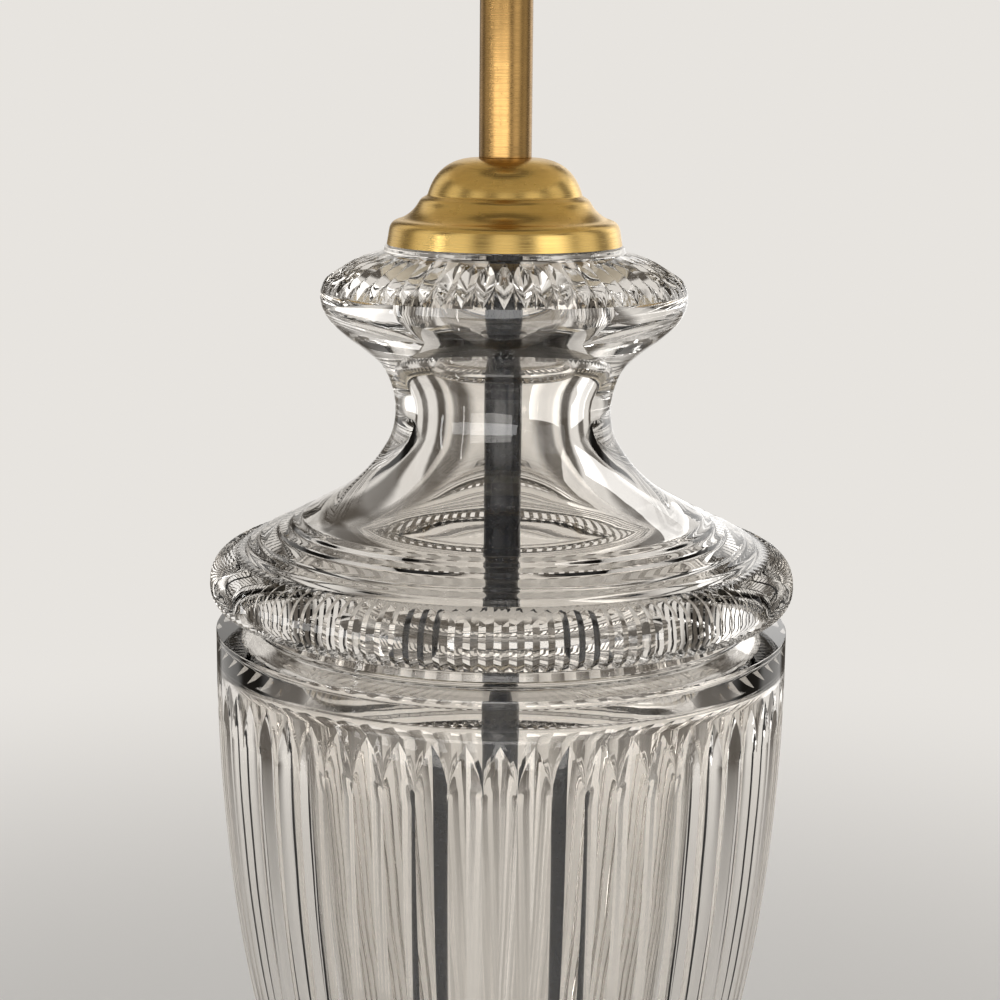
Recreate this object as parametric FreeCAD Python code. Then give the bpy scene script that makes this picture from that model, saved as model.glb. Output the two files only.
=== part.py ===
import FreeCAD, Part
import math
import os

# Table lamp on a cut-glass urn.  Sizes in millimetres, +Z up, origin on the table under the lamp's axis.
# The stack, from below: felt pad, brass foot with its weight, brass cup, glass bowl, glass lid, brass cap,
# brass neck tube, lampholder, bulb and shade, all drawn together by one hollow threaded rod.

# ---------------------------------------------------------------- driving dimensions
# felt pad under the foot
pad_t = 2.0
pad_inset = 1.0            # the pad stays this far inside the foot's edge

# hollow threaded rod and what runs on it
rod_r = 5.0
rod_bore_r = 3.0
rod_lift = 4.0             # room under the rod for the lead
rod_tail = 1.5             # rod below the nut
rod_clear = 0.15           # every hole that the rod passes is this much larger, on the radius
nut_flats = 17.0
nut_h = 5.0
washer_r = 11.0
washer_t = 1.2

# brass foot, spun from sheet
foot_r = 78.0
foot_band_h = 13.0
foot_band_draft = 1.6      # how much the band leans in over its height
foot_shoulder_w = 4.0      # rounded corner above the band
foot_shoulder_h = 2.2
foot_shoulder_sag = 1.0
foot_flare_in = 32.0       # inner end of the concave flare, inside the foot's edge
foot_flare_h = 17.0
foot_flare_sag = 4.5       # how far the flare bows in
foot_ring_w = 2.5          # step between flare and dome
foot_ring_h = 2.5
foot_ring_sag = 0.6
foot_dome_sag = 4.5
foot_h = 48.0
foot_top_r = 24.0
foot_wall = 1.5

# cast weight inside the foot
weight_in = 8.0            # edge of the weight inside the foot's edge
weight_edge_in = 2.0       # its upright edge ends this far under the top of the foot's band
weight_top_in = 6.0        # flat top inside the flare's inner end
weight_t = 18.0
pocket_room = 4.0          # room round the washer
lead_channel_w = 9.0
lead_clear = 1.0           # channel above the inlet's bore
spacer_r = 9.0

# cord inlet in the back of the foot
inlet_bore_r = 3.4
inlet_wall = 1.2
inlet_flange = 0.9
inlet_flange_t = 1.6
inlet_lift = 0.5           # above the middle of the foot's band

# brass cup that carries the bowl
cup_stem_in = 2.0          # stem inside the edge of the foot's flat top
cup_stem_h = 2.0
cup_sag = 3.0
cup_over = 4.5             # edge of the cup outside the bowl's foot
cup_floor_h = 9.0
cup_floor_t = 2.4          # metal under the floor at the cup's edge
cup_lip_h = 5.0            # lip above the floor
cup_lip_t = 1.6

# rings between brass and glass, and between the two glasses
seat_ring_t = 1.5
lid_ring_t = 1.0
cap_ring_t = 0.6
ring_inset = 2.5           # the bowl's ring lies this far inside the edge of its foot
lid_ring_inset = 1.25
cap_ring_inset = 0.6
cap_ring_w = 9.4

# glass bowl
bowl_rim_r = 100.3
bowl_h = 250.5
bowl_foot_r = 46.0
bowl_wall = 8.5
bowl_lip_w = 16.3          # width of the thick lip under the rim
bowl_lip_h = 5.0           # height of that lip
bowl_floor_t = 12.0
bowl_hole_clear = 1.0      # hole in the floor, outside the sleeve
bowl_edge = 0.6            # chamfer round the rim
bowl_taper = 0.72          # share of the taper with the square of the depth; the rest, its fourth power
bowl_inside = (0.65, 0.42, 0.22)    # heights of the corners of the inside, as shares of the bowl's
bowl_stations = (0.0, 0.08, 0.17, 0.28, 0.42, 0.58, 0.78, 1.0)    # and of its flutes, up to where they meet
bowl_flutes = 58
bowl_plain_h = 14.7        # rim to the points of the flutes
bowl_point_h = 16.7        # points to where the flutes meet
bowl_flute_depth = 2.0     # ridge to groove where the bowl is widest

# glass lid
lid_foot_over = 3.0        # lid's foot outside the bowl's mouth
lid_foot_h = 5.5
lid_mouth_in = 3.0         # lid's mouth inside the bowl's mouth
lid_h = 131.7
bead_over = 1.9            # fluted bead outside the bowl's rim
bead_z = 15.0              # widest place of the fluted bead, above the lid's foot
bead_low = 9.0             # from there down to the bead's underside
bead_high = 11.6           # and up to the ends of its flutes
bead_low_in = 4.2
bead_side = 3.4            # half the height of its steep side
bead_side_in = 0.9
bead_high_in = 10.6
bead_flutes = 132
bead_flute_depth = 1.1
step_insets = (32.9, 28.5, 23.9, 17.4, 13.2)    # ring steps, inside the bead's widest place
step_drop = 1.1            # height of each ring step
step_lean = 0.3            # foot of a riser outside its upper edge
step_slope = 0.30          # fall of the tread between two ring steps
step_top_z = 39.2          # upper edge of the first ring step
waist_r = 37.5
waist_z = 75.4
waist_half_h = 14.8        # half the height of the round hollow at the waist
waist_sag = 4.4            # depth of that hollow
shoulder_sag = 2.6         # depth of the long hollow from waist to first step
knop_r = 63.3
knop_z = 115.0
knop_low = 10.8            # height of the rounded edge under the knop's widest place
knop_low_in = 5.4
knop_low_bow = 0.12        # bow of that edge, as a share of its height
# corners of the slope above the widest place, as shares of the slope's width and height
knop_slope = ((0.0, 0.0), (0.045, 0.34), (0.26, 0.62), (0.60, 0.88), (0.88, 1.0))
knop_cuts = 58
knop_cut_depth = 1.9
knop_ridges = (1.5, 0.4, 0.2, 0.2, 1.2)    # ridges of the leaf cutter above the slope, in cut depths
knop_grooves = (0.5, -0.6, -1.3, -1.5, 0.2)    # and its grooves
collar_r = 41.2
collar_h = 2.6
lid_bore_r = 20.0
lid_bore_top = 0.7         # cone above the bore, as a share of the height of the knop's lower edge
# corners of the inside under the shoulder, as shares of its width and of the waist's height
lid_inside = ((0.24, 0.66), (0.56, 0.44), (0.88, 0.24))
lid_hole_clear = 2.5       # hole in the knop, outside the sleeve
cutter_room = 5.0          # cutters reach this far outside the glass

# black sleeve over the rod, seen through the glass
sleeve_wall = 1.35

# brass cap on the glass
cap_lip_in = 0.8           # lip inside the edge of the glass collar
cap_band_in = 1.1          # band, shoulder and flare inside the lip
cap_band_h = 6.0
cap_shoulder_in = 4.6
cap_shoulder_h = 2.2
cap_shoulder_sag = 0.9
cap_flare_in = 10.6
cap_flare_h = 14.4
cap_flare_sag = 1.0
cap_step_w = 3.0
cap_step_sag = 0.8
cap_dome_z = 17.4
cap_dome_sag = 3.4
cap_h = 29.3
cap_top_over = 2.0         # flat top outside the neck tube
cap_wall = 1.2
locknut_clear = 0.3        # its corners to the inside of the neck tube
locknut_h = 4.0

# brass neck tube
neck_r = 9.0
neck_wall = 1.2
neck_l = 95.0
neck_clear = 0.1
bush_over = 1.5            # flange outside the tube
bush_flange_t = 2.5
bush_plug_h = 8.0

# lampholder
holder_neck_r = 8.6
holder_neck_h = 8.0
holder_r = 19.0
holder_cap_h = 28.0
holder_dome_z = 16.0
holder_dome_sag = 2.0
holder_wall = 1.2
holder_thread_h = 0.6      # threaded half outside the plain one
holder_shell_h = 33.0
holder_lip_over = 1.8      # mouth outside the inside of the screw shell
holder_lip_t = 1.2
insulator_t = 9.0
contact_r = 5.0
contact_t = 1.0
lamp_thread_r = 13.4       # inside of the screw shell
lamp_thread_t = 0.5
lamp_clear = 0.25          # bulb cap to screw shell, on the radius
grub_r = 1.5
terminal_r = 1.8
terminal_l = 6.0
terminal_out = 2.0         # screw head under the insulator
terminal_in = 3.2          # screws inside the holder's wall

# push-through switch bar
bar_r = 2.6
bar_head_r = 3.8
bar_head_l = 5.0
bar_travel = 6.0
bar_drop = 7.0             # bar under the joint of the holder's halves
bar_clear = 0.3
bar_stop_clear = 0.3       # head to holder at the end of the travel
switch_block_r = 12.0
switch_block_h = 13.0

# two rings that clamp the shade
shade_ring_r = 27.0
shade_ring_t = 6.0
shade_flange_t = 2.0
shade_ring_hub = 3.0
shade_ring_lift = 10.0     # underside of the lower ring above the joint of the holder's halves
ring_clear = 0.08
clamp_gap = 0.3

# bulb
bulb_r = 30.0
bulb_l = 107.0
bulb_neck_sag = 4.4
bulb_skirt = 8.0           # glass held inside the cap
bulb_cap_l = 25.0
bulb_cap_t = 0.5
bulb_neck_clear = 0.25     # glass neck to the inside of the cap
bulb_skirt_z = 5.0         # foot of the cap's straight side
bulb_tip_r = 4.5
bulb_tip_h = 2.0
bulb_tip_gap = 3.0         # width of the black glass round the tip
bulb_floor_t = 1.5
bulb_tip_slope = 0.8       # fall of the black glass towards the tip
bulb_glass_t = 0.8
stem_r = 5.0
stem_foot_h = 14.0
stem_top_r = 2.0
stem_h = 62.0
filament_r = 1.2
filament_h = 36.0
filament_lift = 8.0        # above the cap
filament_count = 4
filament_place_r = 7.0
filament_leg_r = 0.5
filament_leg_z = 1.0

# shade
shade_bottom_r = 200.0
shade_top_r = 150.0
shade_h = 230.0
shade_drop = 22.0          # carrier ring above the shade's lower edge
cover_t = 1.0
lining_t = 0.6
wire_r = 1.6
carrier_arms = 3
carrier_t = 1.5
hoop_lift = 3.2            # middle of each wire hoop inside the shade's edge
carrier_clear = 0.5
carrier_rim = 4.5          # carrier ring beyond the shade rings
arm_root = 2.5             # arms start this far beyond the shade rings
arm_knee = 14.0            # and bend down this far beyond them
arm_short = 1.1            # their lower ends stop this far inside the hoop's middle
wire_clear = 0.1
tape_w = 9.0
tape_t = 0.6

# ---------------------------------------------------------------- sizes that follow
sleeve_r = rod_r + rod_clear + sleeve_wall
foot_flare_r = foot_r - foot_flare_in
weight_r = foot_r - weight_in
weight_edge_h = foot_band_h - weight_edge_in
weight_top_r = foot_flare_r - weight_top_in
weight_pocket_r = washer_r + pocket_room
inlet_z = foot_band_h / 2 + inlet_lift
cup_stem_r = foot_top_r - cup_stem_in
cup_r = bowl_foot_r + cup_over
cup_h = cup_floor_h + cup_lip_h
bowl_mouth_r = bowl_rim_r - bowl_lip_w
bowl_hole_r = sleeve_r + bowl_hole_clear
lid_foot_r = bowl_mouth_r + lid_foot_over
lid_mouth_r = bowl_mouth_r - lid_mouth_in
lid_hole_r = sleeve_r + lid_hole_clear
bead_r = bowl_rim_r + bead_over
cap_lip_r = collar_r - cap_lip_in
cap_band_r = cap_lip_r - cap_band_in
cap_shoulder_r = cap_lip_r - cap_shoulder_in
cap_flare_r = cap_lip_r - cap_flare_in
cap_top_r = neck_r + cap_top_over
neck_in = neck_r - neck_wall
locknut_flats = (neck_in - locknut_clear) * math.sqrt(3)
holder_thread_r = holder_r + holder_thread_h
holder_lip_r = lamp_thread_r + holder_lip_over
terminal_y = holder_r - holder_wall - terminal_in
bar_z = holder_cap_h - bar_drop
bulb_neck_r = lamp_thread_r - lamp_clear - bulb_cap_t - bulb_neck_clear

# heights above the table
foot_z = pad_t
foot_top_z = foot_z + foot_h
rod_z = foot_z + rod_lift
nut_z = rod_z + rod_tail
washer_z = nut_z + nut_h
pocket_top_z = washer_z + washer_t
cup_z = foot_top_z
cup_floor_z = cup_z + cup_floor_h
bowl_z = cup_floor_z + seat_ring_t
rim_z = bowl_z + bowl_h
lid_z = rim_z + lid_ring_t
lid_top_z = lid_z + lid_h
cap_z = lid_top_z + cap_ring_t
cap_top_z = cap_z + cap_h
neck_top_z = cap_top_z + neck_l
holder_z = neck_top_z + bush_flange_t
shell_z = holder_z + holder_cap_h
contact_z = shell_z + insulator_t
lamp_z = contact_z + contact_t
rod_top_z = holder_z + holder_neck_h
lower_ring_z = shell_z + shade_ring_lift
carrier_z = lower_ring_z + shade_ring_t
upper_ring_z = carrier_z + carrier_t + clamp_gap
shade_z = carrier_z - shade_drop
shade_slope = (shade_bottom_r - shade_top_r) / shade_h
bulb_widest_z = lamp_z + bulb_l - bulb_r
bulb_inside_z = lamp_z + bulb_tip_h + bulb_floor_t
bar_l = 2 * (holder_r + bar_head_l + bar_stop_clear) + bar_travel

AXIS = FreeCAD.Vector(0, 0, 1)
ORIGIN = FreeCAD.Vector(0, 0, 0)
ALONG_X = FreeCAD.Vector(1, 0, 0)
ALONG_Y = FreeCAD.Vector(0, 1, 0)


# ---------------------------------------------------------------- shape helpers
def point(r, z):
    """A place in the XZ half plane, given by radius and height."""
    return FreeCAD.Vector(r, 0, z)


def bowed(start, end, sag):
    """An arc step from start to end whose middle lies sag to the right of the straight line."""
    run = end[0] - start[0]
    rise = end[1] - start[1]
    length = math.hypot(run, rise)
    middle = (
        0.5 * (start[0] + end[0]) + sag * rise / length,
        0.5 * (start[1] + end[1]) - sag * run / length,
    )
    return ("arc", middle, end[:2])


def profile(start, *steps):
    """A wire in the XZ half plane.  A step is a corner (r, z), or ("arc", middle, end)."""
    edges = []
    here = point(*start)
    for step in steps:
        if step[0] == "arc":
            end = point(*step[2])
            edges.append(Part.Arc(here, point(*step[1]), end).toShape())
        else:
            end = point(*step)
            edges.append(Part.LineSegment(here, end).toShape())
        here = end
    return Part.Wire(edges)


def revolved(face):
    """A solid of revolution, with its faces outwards."""
    solid = face.revolve(ORIGIN, AXIS, 360)
    return solid if solid.Volume > 0 else solid.reversed()


def turned(start, *steps):
    """A turned solid whose profile closes on its start."""
    return revolved(Part.Face(profile(start, *steps, start)))


def inward(start, end):
    """Unit vector to the left of a run, which points into the metal of an outline that climbs."""
    length = math.hypot(end[0] - start[0], end[1] - start[1])
    return ((start[1] - end[1]) / length, (end[0] - start[0]) / length)


def spun(wall, outline):
    """Sheet metal spun about the axis.  The outline climbs; each place is (r, z, bow of the run to it)."""
    normals = [inward(start, end) for start, end in zip(outline, outline[1:])]
    inner = [(outline[0][0] + wall / normals[0][0], outline[0][1])]
    for place, before, after in zip(outline[1:], normals, normals[1:]):
        mitre = wall / (1.0 + before[0] * after[0] + before[1] * after[1])
        side = place[0] + mitre * (before[0] + after[0])
        inner.append((side, place[1] + mitre * (before[1] + after[1])))
    inner.append((outline[-1][0], outline[-1][1] + wall / normals[-1][1]))
    steps = []
    for start, end in zip(outline, outline[1:]):
        steps.append(bowed(start, end, end[2]) if end[2] else end[:2])
    steps.append(inner[-1])
    for k in range(len(outline) - 1, 0, -1):
        sag = outline[k][2]
        steps.append(bowed(inner[k], inner[k - 1], -sag) if sag else inner[k - 1])
    return turned(outline[0][:2], *steps)


def disc(radius, z, height):
    """A plain cylinder about the axis."""
    return Part.makeCylinder(radius, height, FreeCAD.Vector(0, 0, z))


def ring(r_in, r_out, z, height):
    """A plain ring about the axis."""
    return disc(r_out, z, height).cut(disc(r_in, z, height))


def hex_nut(flats, bore_r, z, height):
    """A hexagon nut about the axis."""
    corner = flats / math.sqrt(3)
    points = []
    for k in range(7):
        angle = math.radians(60 * k)
        points.append(FreeCAD.Vector(corner * math.cos(angle), corner * math.sin(angle), z))
    body = Part.Face(Part.makePolygon(points)).extrude(FreeCAD.Vector(0, 0, height))
    return body.cut(disc(bore_r, z, height))


def round_array(shape, count, start_deg=0.0):
    """Copies of a shape, evenly spaced about the axis."""
    copies = []
    for k in range(count):
        copy = shape.copy()
        copy.rotate(ORIGIN, AXIS, start_deg + 360.0 * k / count)
        copies.append(copy)
    return copies


def star(z, r_ridge, r_groove, count):
    """A closed star outline with count grooves, ridge and groove points in turn."""
    points = []
    for k in range(2 * count):
        radius = r_groove if k % 2 == 0 else r_ridge
        angle = math.pi * k / count
        points.append(FreeCAD.Vector(radius * math.cos(angle), radius * math.sin(angle), z))
    return Part.makePolygon(points + points[:1])


def fluted(levels, count):
    """A solid through star outlines.  levels holds (z, ridge radius, groove radius) from below."""
    return Part.makeLoft([star(z, ridge, groove, count) for z, ridge, groove in levels], True, True)


def flute_cutter(levels, count, clear_r):
    """What lies outside the fluted solid between its lowest and highest level."""
    low = levels[0][0]
    return disc(clear_r, low, levels[-1][0] - low).cut(fluted(levels, count))


# ---------------------------------------------------------------- foot
def foot_shell():
    """Spun foot: drafted band, rounded shoulder, concave flare, ring step and dome."""
    band = (foot_r - foot_band_draft, foot_z + foot_band_h, 0)
    shoulder = (band[0] - foot_shoulder_w, band[1] + foot_shoulder_h, foot_shoulder_sag)
    flare = (foot_flare_r, band[1] + foot_flare_h, -foot_flare_sag)
    step = (flare[0] - foot_ring_w, flare[1] + foot_ring_h, foot_ring_sag)
    top = (foot_top_r, foot_top_z, foot_dome_sag)
    hole = (rod_r + rod_clear, foot_top_z, 0)
    shell = spun(foot_wall, [(foot_r, foot_z, 0), band, shoulder, flare, step, top, hole])
    return shell.cut(along_inlet(inlet_bore_r + inlet_wall, 0, foot_r))


def along_inlet(radius, start, end):
    """A cylinder along the cord inlet, which runs out of the back of the foot."""
    place = FreeCAD.Vector(0, start, foot_z + inlet_z)
    return Part.makeCylinder(radius, end - start, place, ALONG_Y)


def inlet_grommet():
    """Rubber bush in the foot's back wall, with a flange on each side of the sheet."""
    wall_y = foot_r - foot_band_draft * inlet_z / foot_band_h
    start = wall_y - foot_wall - inlet_flange_t
    end = wall_y + inlet_flange_t
    body = along_inlet(inlet_bore_r + inlet_wall + inlet_flange, start, end).cut(foot_shell())
    return body.cut(along_inlet(inlet_bore_r, start, end))


def base_weight():
    """Cast disc with a pocket for the nut and a channel for the lead from the inlet to the rod."""
    body = turned(
        (rod_r + rod_clear, foot_z),
        (weight_r, foot_z),
        (weight_r, foot_z + weight_edge_h),
        (weight_top_r, foot_z + weight_t),
        (rod_r + rod_clear, foot_z + weight_t),
    )
    body = body.cut(disc(weight_pocket_r, foot_z, pocket_top_z - foot_z))
    corner = FreeCAD.Vector(-lead_channel_w / 2, 0, foot_z)
    channel = Part.makeBox(lead_channel_w, weight_r, inlet_z + inlet_bore_r + lead_clear, corner)
    roof = disc(weight_pocket_r, pocket_top_z, weight_t)
    return body.cut(channel.cut(roof))


def bowl_cup():
    """Turned dish on a short stem, which carries the bowl."""
    stem = (cup_stem_r, cup_z + cup_stem_h)
    edge = (cup_r, cup_floor_z - cup_floor_t)
    return turned(
        (rod_r + rod_clear, cup_z),
        (cup_stem_r, cup_z),
        stem,
        bowed(stem, edge, cup_sag),
        (cup_r, cup_z + cup_h),
        (cup_r - cup_lip_t, cup_z + cup_h),
        (cup_r - cup_lip_t, cup_floor_z),
        (rod_r + rod_clear, cup_floor_z),
    )


# ---------------------------------------------------------------- glass bowl
def bowl_radius(height):
    """Radius of the bowl's ridges at a height above its foot: a convex taper, steeper towards the foot."""
    below = 1.0 - min(max(height / (bowl_h - bowl_plain_h), 0.0), 1.0)
    share = bowl_taper * below ** 2 + (1.0 - bowl_taper) * below ** 4
    return bowl_rim_r - (bowl_rim_r - bowl_foot_r) * share


def glass_bowl():
    """Turned bowl whose outside is cut with pointed V flutes from below the rim down to the foot."""
    top = bowl_z + bowl_h
    wall_top = top - bowl_lip_h - (bowl_rim_r - bowl_wall - bowl_mouth_r)
    inside = []
    for share in bowl_inside:
        inside.append((bowl_radius(share * bowl_h) - bowl_wall, bowl_z + share * bowl_h))
    body = turned(
        (bowl_hole_r, bowl_z),
        (bowl_rim_r, bowl_z),
        (bowl_rim_r, top - bowl_edge),
        (bowl_rim_r - bowl_edge, top),
        (bowl_mouth_r, top),
        (bowl_mouth_r, top - bowl_lip_h),
        (bowl_rim_r - bowl_wall, wall_top),
        *inside,
        (bowl_radius(bowl_floor_t) - bowl_wall, bowl_z + bowl_floor_t),
        (bowl_hole_r, bowl_z + bowl_floor_t),
    )
    return body.common(fluted(bowl_levels(), bowl_flutes))


def bowl_levels():
    """Star outlines of the bowl.  Above where the flutes meet, the grooves rise out through the wall."""
    meet = bowl_h - bowl_plain_h - bowl_point_h
    levels = []
    for share in bowl_stations:
        height = share * meet
        radius = bowl_radius(height)
        depth = bowl_flute_depth * radius / bowl_rim_r
        levels.append((bowl_z + height, radius, radius - depth))
    top = bowl_h + bowl_edge
    rise = bowl_flute_depth * (top - meet) / bowl_point_h
    levels.append((bowl_z + top, bowl_rim_r + rise, bowl_rim_r + rise - bowl_flute_depth))
    return levels


# ---------------------------------------------------------------- glass lid
def bead_outline():
    """Corners of the fluted bead from its underside to the ends of its flutes, above the lid's foot."""
    return (
        (bead_r - bead_low_in, bead_z - bead_low),
        (bead_r, bead_z - bead_side),
        (bead_r - bead_side_in, bead_z + bead_side),
        (bead_r - bead_high_in, bead_z + bead_high),
    )


def step_outline():
    """Ring steps on the lid's shoulder, from the lowest up: the foot of each riser and its upper edge."""
    corners = []
    fall = 0.0
    for k, inset in enumerate(step_insets):
        if k > 0:
            fall += step_drop + step_slope * (step_insets[k - 1] - inset)
        upper = step_top_z - fall
        corners.append((bead_r - inset, upper))
        corners.append((bead_r - inset + step_lean, upper - step_drop))
    return corners[::-1]


def glass_lid():
    """Turned lid: fluted bead, ring steps, waist, and a knop cut with leaves under the collar."""
    waist_low = (waist_r + waist_sag, waist_z - waist_half_h)
    waist_high = (waist_low[0], waist_z + waist_half_h)
    knop_under = (knop_r - knop_low_in, knop_z - knop_low)
    first_step = (bead_r - step_insets[0], step_top_z)
    outside = [
        (lid_foot_r, 0),
        (lid_foot_r, lid_foot_h),
        *bead_outline(),
        *step_outline(),
        bowed(first_step, waist_low, -shoulder_sag),
        ("arc", (waist_r, waist_z), waist_high),
        knop_under,
        bowed(knop_under, (knop_r, knop_z), knop_low_bow * knop_low),
        *knop_outline()[1:],
        (collar_r, lid_h - collar_h),
        (collar_r, lid_h),
    ]
    room = lid_mouth_r - lid_bore_r
    inside = [
        (lid_hole_r, lid_h),
        (lid_hole_r, knop_z + lid_bore_top * knop_low),
        (lid_bore_r, knop_z),
        (lid_bore_r, waist_z),
        *[(lid_bore_r + out * room, up * waist_z) for out, up in lid_inside],
        (lid_mouth_r, lid_foot_h),
        (lid_mouth_r, 0),
    ]
    body = turned(*raised(outside + inside, lid_z))
    body = body.cut(flute_cutter(bead_levels(), bead_flutes, bead_r + cutter_room))
    return body.cut(flute_cutter(knop_levels(), knop_cuts, knop_r + cutter_room))


def raised(steps, z):
    """The same profile steps, z higher."""
    lifted = []
    for step in steps:
        if step[0] == "arc":
            lifted.append(("arc", (step[1][0], step[1][1] + z), (step[2][0], step[2][1] + z)))
        else:
            lifted.append((step[0], step[1] + z))
    return lifted


def bead_levels():
    """Star outlines along the bead; its grooves run out at the last corner."""
    levels = [(lid_z + z, r, r - bead_flute_depth) for r, z in bead_outline()[:-1]]
    r, z = bead_outline()[-1]
    levels.append((lid_z + z, r + 2 * bead_flute_depth, r + bead_flute_depth))
    return levels


def knop_outline():
    """Corners of the knop's upper slope, from its widest place to the collar, above the lid's foot."""
    slope_h = lid_h - collar_h - knop_z
    slope_w = knop_r - collar_r
    return [(knop_r - inset * slope_w, knop_z + up * slope_h) for inset, up in knop_slope]


def knop_levels():
    """Star outlines of the knop's leaves, whose grooves start and end on its surface."""
    corners = knop_outline()
    corners[0] = (knop_r, 0.5 * (corners[0][1] + corners[1][1]))
    levels = []
    for (r, z), ridge, groove in zip(corners, knop_ridges, knop_grooves):
        levels.append((lid_z + z, r + ridge * knop_cut_depth, r + groove * knop_cut_depth))
    return levels


# ---------------------------------------------------------------- brass cap
def vase_cap():
    """Spun cap: flaring band, rounded shoulder, concave flare, ring step and dome."""
    band = (cap_band_r, cap_z + cap_band_h, 0)
    shoulder = (cap_shoulder_r, band[1] + cap_shoulder_h, cap_shoulder_sag)
    flare = (cap_flare_r, cap_z + cap_flare_h, -cap_flare_sag)
    step = (cap_flare_r - cap_step_w, cap_z + cap_dome_z, cap_step_sag)
    top = (cap_top_r, cap_top_z, cap_dome_sag)
    hole = (rod_r + rod_clear, cap_top_z, 0)
    return spun(cap_wall, [(cap_lip_r, cap_z, 0), band, shoulder, flare, step, top, hole])


# ---------------------------------------------------------------- neck and lampholder
def neck_bush():
    """Bush that plugs the tube's top and carries the lampholder."""
    body = disc(neck_in - neck_clear, neck_top_z - bush_plug_h, bush_plug_h)
    body = body.fuse(disc(neck_r + bush_over, neck_top_z, bush_flange_t))
    return body.cut(disc(rod_r + rod_clear, neck_top_z - bush_plug_h, bush_plug_h + bush_flange_t))


def holder_cap():
    """Lower half of the lampholder: threaded neck, dome and a wall with the switch bar's two holes."""
    z = holder_z
    dome = (holder_r, z + holder_dome_z)
    neck = (holder_neck_r, z + holder_neck_h)
    outside = turned(
        (0, z),
        (holder_neck_r, z),
        neck,
        bowed(neck, dome, holder_dome_sag),
        (holder_r, shell_z),
        (0, shell_z),
    )
    inner_r = holder_r - holder_wall
    inside = turned(
        (0, z + holder_neck_h),
        (holder_neck_r - holder_wall, z + holder_neck_h),
        (inner_r, z + holder_dome_z + holder_wall),
        (inner_r, shell_z),
        (0, shell_z),
    )
    shell = outside.cut(inside).cut(disc(rod_r + rod_clear, z, holder_neck_h))
    shell = shell.cut(along_bar(bar_r + bar_clear, -holder_r, holder_r))
    return shell.cut(grub_screw())


def along_bar(radius, start, end):
    """A cylinder along the switch bar."""
    place = FreeCAD.Vector(start, 0, holder_z + bar_z)
    return Part.makeCylinder(radius, end - start, place, ALONG_X)


def grub_screw():
    """Screw through the back of the holder's neck that locks it to the rod."""
    place = FreeCAD.Vector(0, rod_r + rod_clear, holder_z + holder_neck_h / 2)
    return Part.makeCylinder(grub_r, holder_neck_r - rod_r - rod_clear, place, ALONG_Y)


def switch_bar():
    """Bar that is pushed through the holder from either side, off at rest."""
    start = -bar_l / 2 - bar_travel / 2
    end = start + bar_l
    body = along_bar(bar_r, start, end)
    body = body.fuse(along_bar(bar_head_r, start, start + bar_head_l))
    return body.fuse(along_bar(bar_head_r, end - bar_head_l, end))


def switch_block():
    """Moulded block under the insulator that guides the bar."""
    block = disc(switch_block_r, shell_z - switch_block_h, switch_block_h)
    return block.cut(along_bar(bar_r + bar_clear, -switch_block_r, switch_block_r))


def terminal_screws():
    """Two terminal screws in the underside of the insulator."""
    place = FreeCAD.Vector(0, terminal_y, shell_z - terminal_out)
    screw = Part.makeCylinder(terminal_r, terminal_l, place)
    return Part.makeCompound(round_array(screw, 2))


def holder_insulator():
    """Moulded disc between the switch and the screw shell."""
    body = disc(holder_r - holder_wall, shell_z, insulator_t)
    return body.cut(terminal_screws())


def holder_shell():
    """Upper half of the lampholder, threaded outside for the shade rings."""
    top = shell_z + holder_shell_h
    inner_r = holder_r - holder_wall
    return turned(
        (inner_r, shell_z),
        (holder_thread_r, shell_z),
        (holder_thread_r, top - holder_lip_t),
        (holder_thread_r - holder_lip_t, top),
        (holder_lip_r, top),
        (holder_lip_r, top - holder_lip_t),
        (inner_r, top - holder_lip_t),
    )


def shade_ring(face_z, away, clear):
    """Threaded ring with its flange at face_z and its hub away from it, upwards (1) or downwards (-1)."""
    bore = holder_thread_r + clear
    hub = bore + shade_ring_hub
    return turned(
        (bore, face_z),
        (shade_ring_r, face_z),
        (shade_ring_r, face_z + away * shade_flange_t),
        (hub, face_z + away * (shade_flange_t + shade_ring_hub / 2)),
        (hub, face_z + away * shade_ring_t),
        (bore, face_z + away * shade_ring_t),
    )


# ---------------------------------------------------------------- bulb
def bulb_glass():
    """Pear-shaped envelope: straight neck, flaring shoulder and a round crown."""
    neck_z = lamp_z + bulb_cap_l
    neck = (bulb_neck_r, neck_z)
    side = (bulb_r, bulb_widest_z)
    crown = (bulb_r * math.sqrt(0.5), bulb_widest_z + bulb_r * math.sqrt(0.5))
    top_z = bulb_widest_z + bulb_r
    inner_r = bulb_r - bulb_glass_t
    inner_neck = (bulb_neck_r - bulb_glass_t, neck_z)
    inner_side = (inner_r, bulb_widest_z)
    inner_crown = (inner_r * math.sqrt(0.5), bulb_widest_z + inner_r * math.sqrt(0.5))
    return turned(
        (bulb_neck_r, neck_z - bulb_skirt),
        neck,
        bowed(neck, side, bulb_neck_sag),
        ("arc", crown, (0, top_z)),
        (0, top_z - bulb_glass_t),
        ("arc", inner_crown, inner_side),
        bowed(inner_side, inner_neck, -bulb_neck_sag),
        (inner_neck[0], neck_z - bulb_skirt),
    )


def bulb_cap():
    """Screw cap of the bulb, plain where its thread is."""
    outer = lamp_thread_r - lamp_clear
    floor_r = bulb_tip_r + bulb_tip_gap
    return turned(
        (floor_r, lamp_z + bulb_tip_h),
        (outer, lamp_z + bulb_skirt_z),
        (outer, lamp_z + bulb_cap_l),
        (outer - bulb_cap_t, lamp_z + bulb_cap_l),
        (outer - bulb_cap_t, lamp_z + bulb_skirt_z + bulb_floor_t),
        (floor_r, bulb_inside_z),
    )


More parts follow.
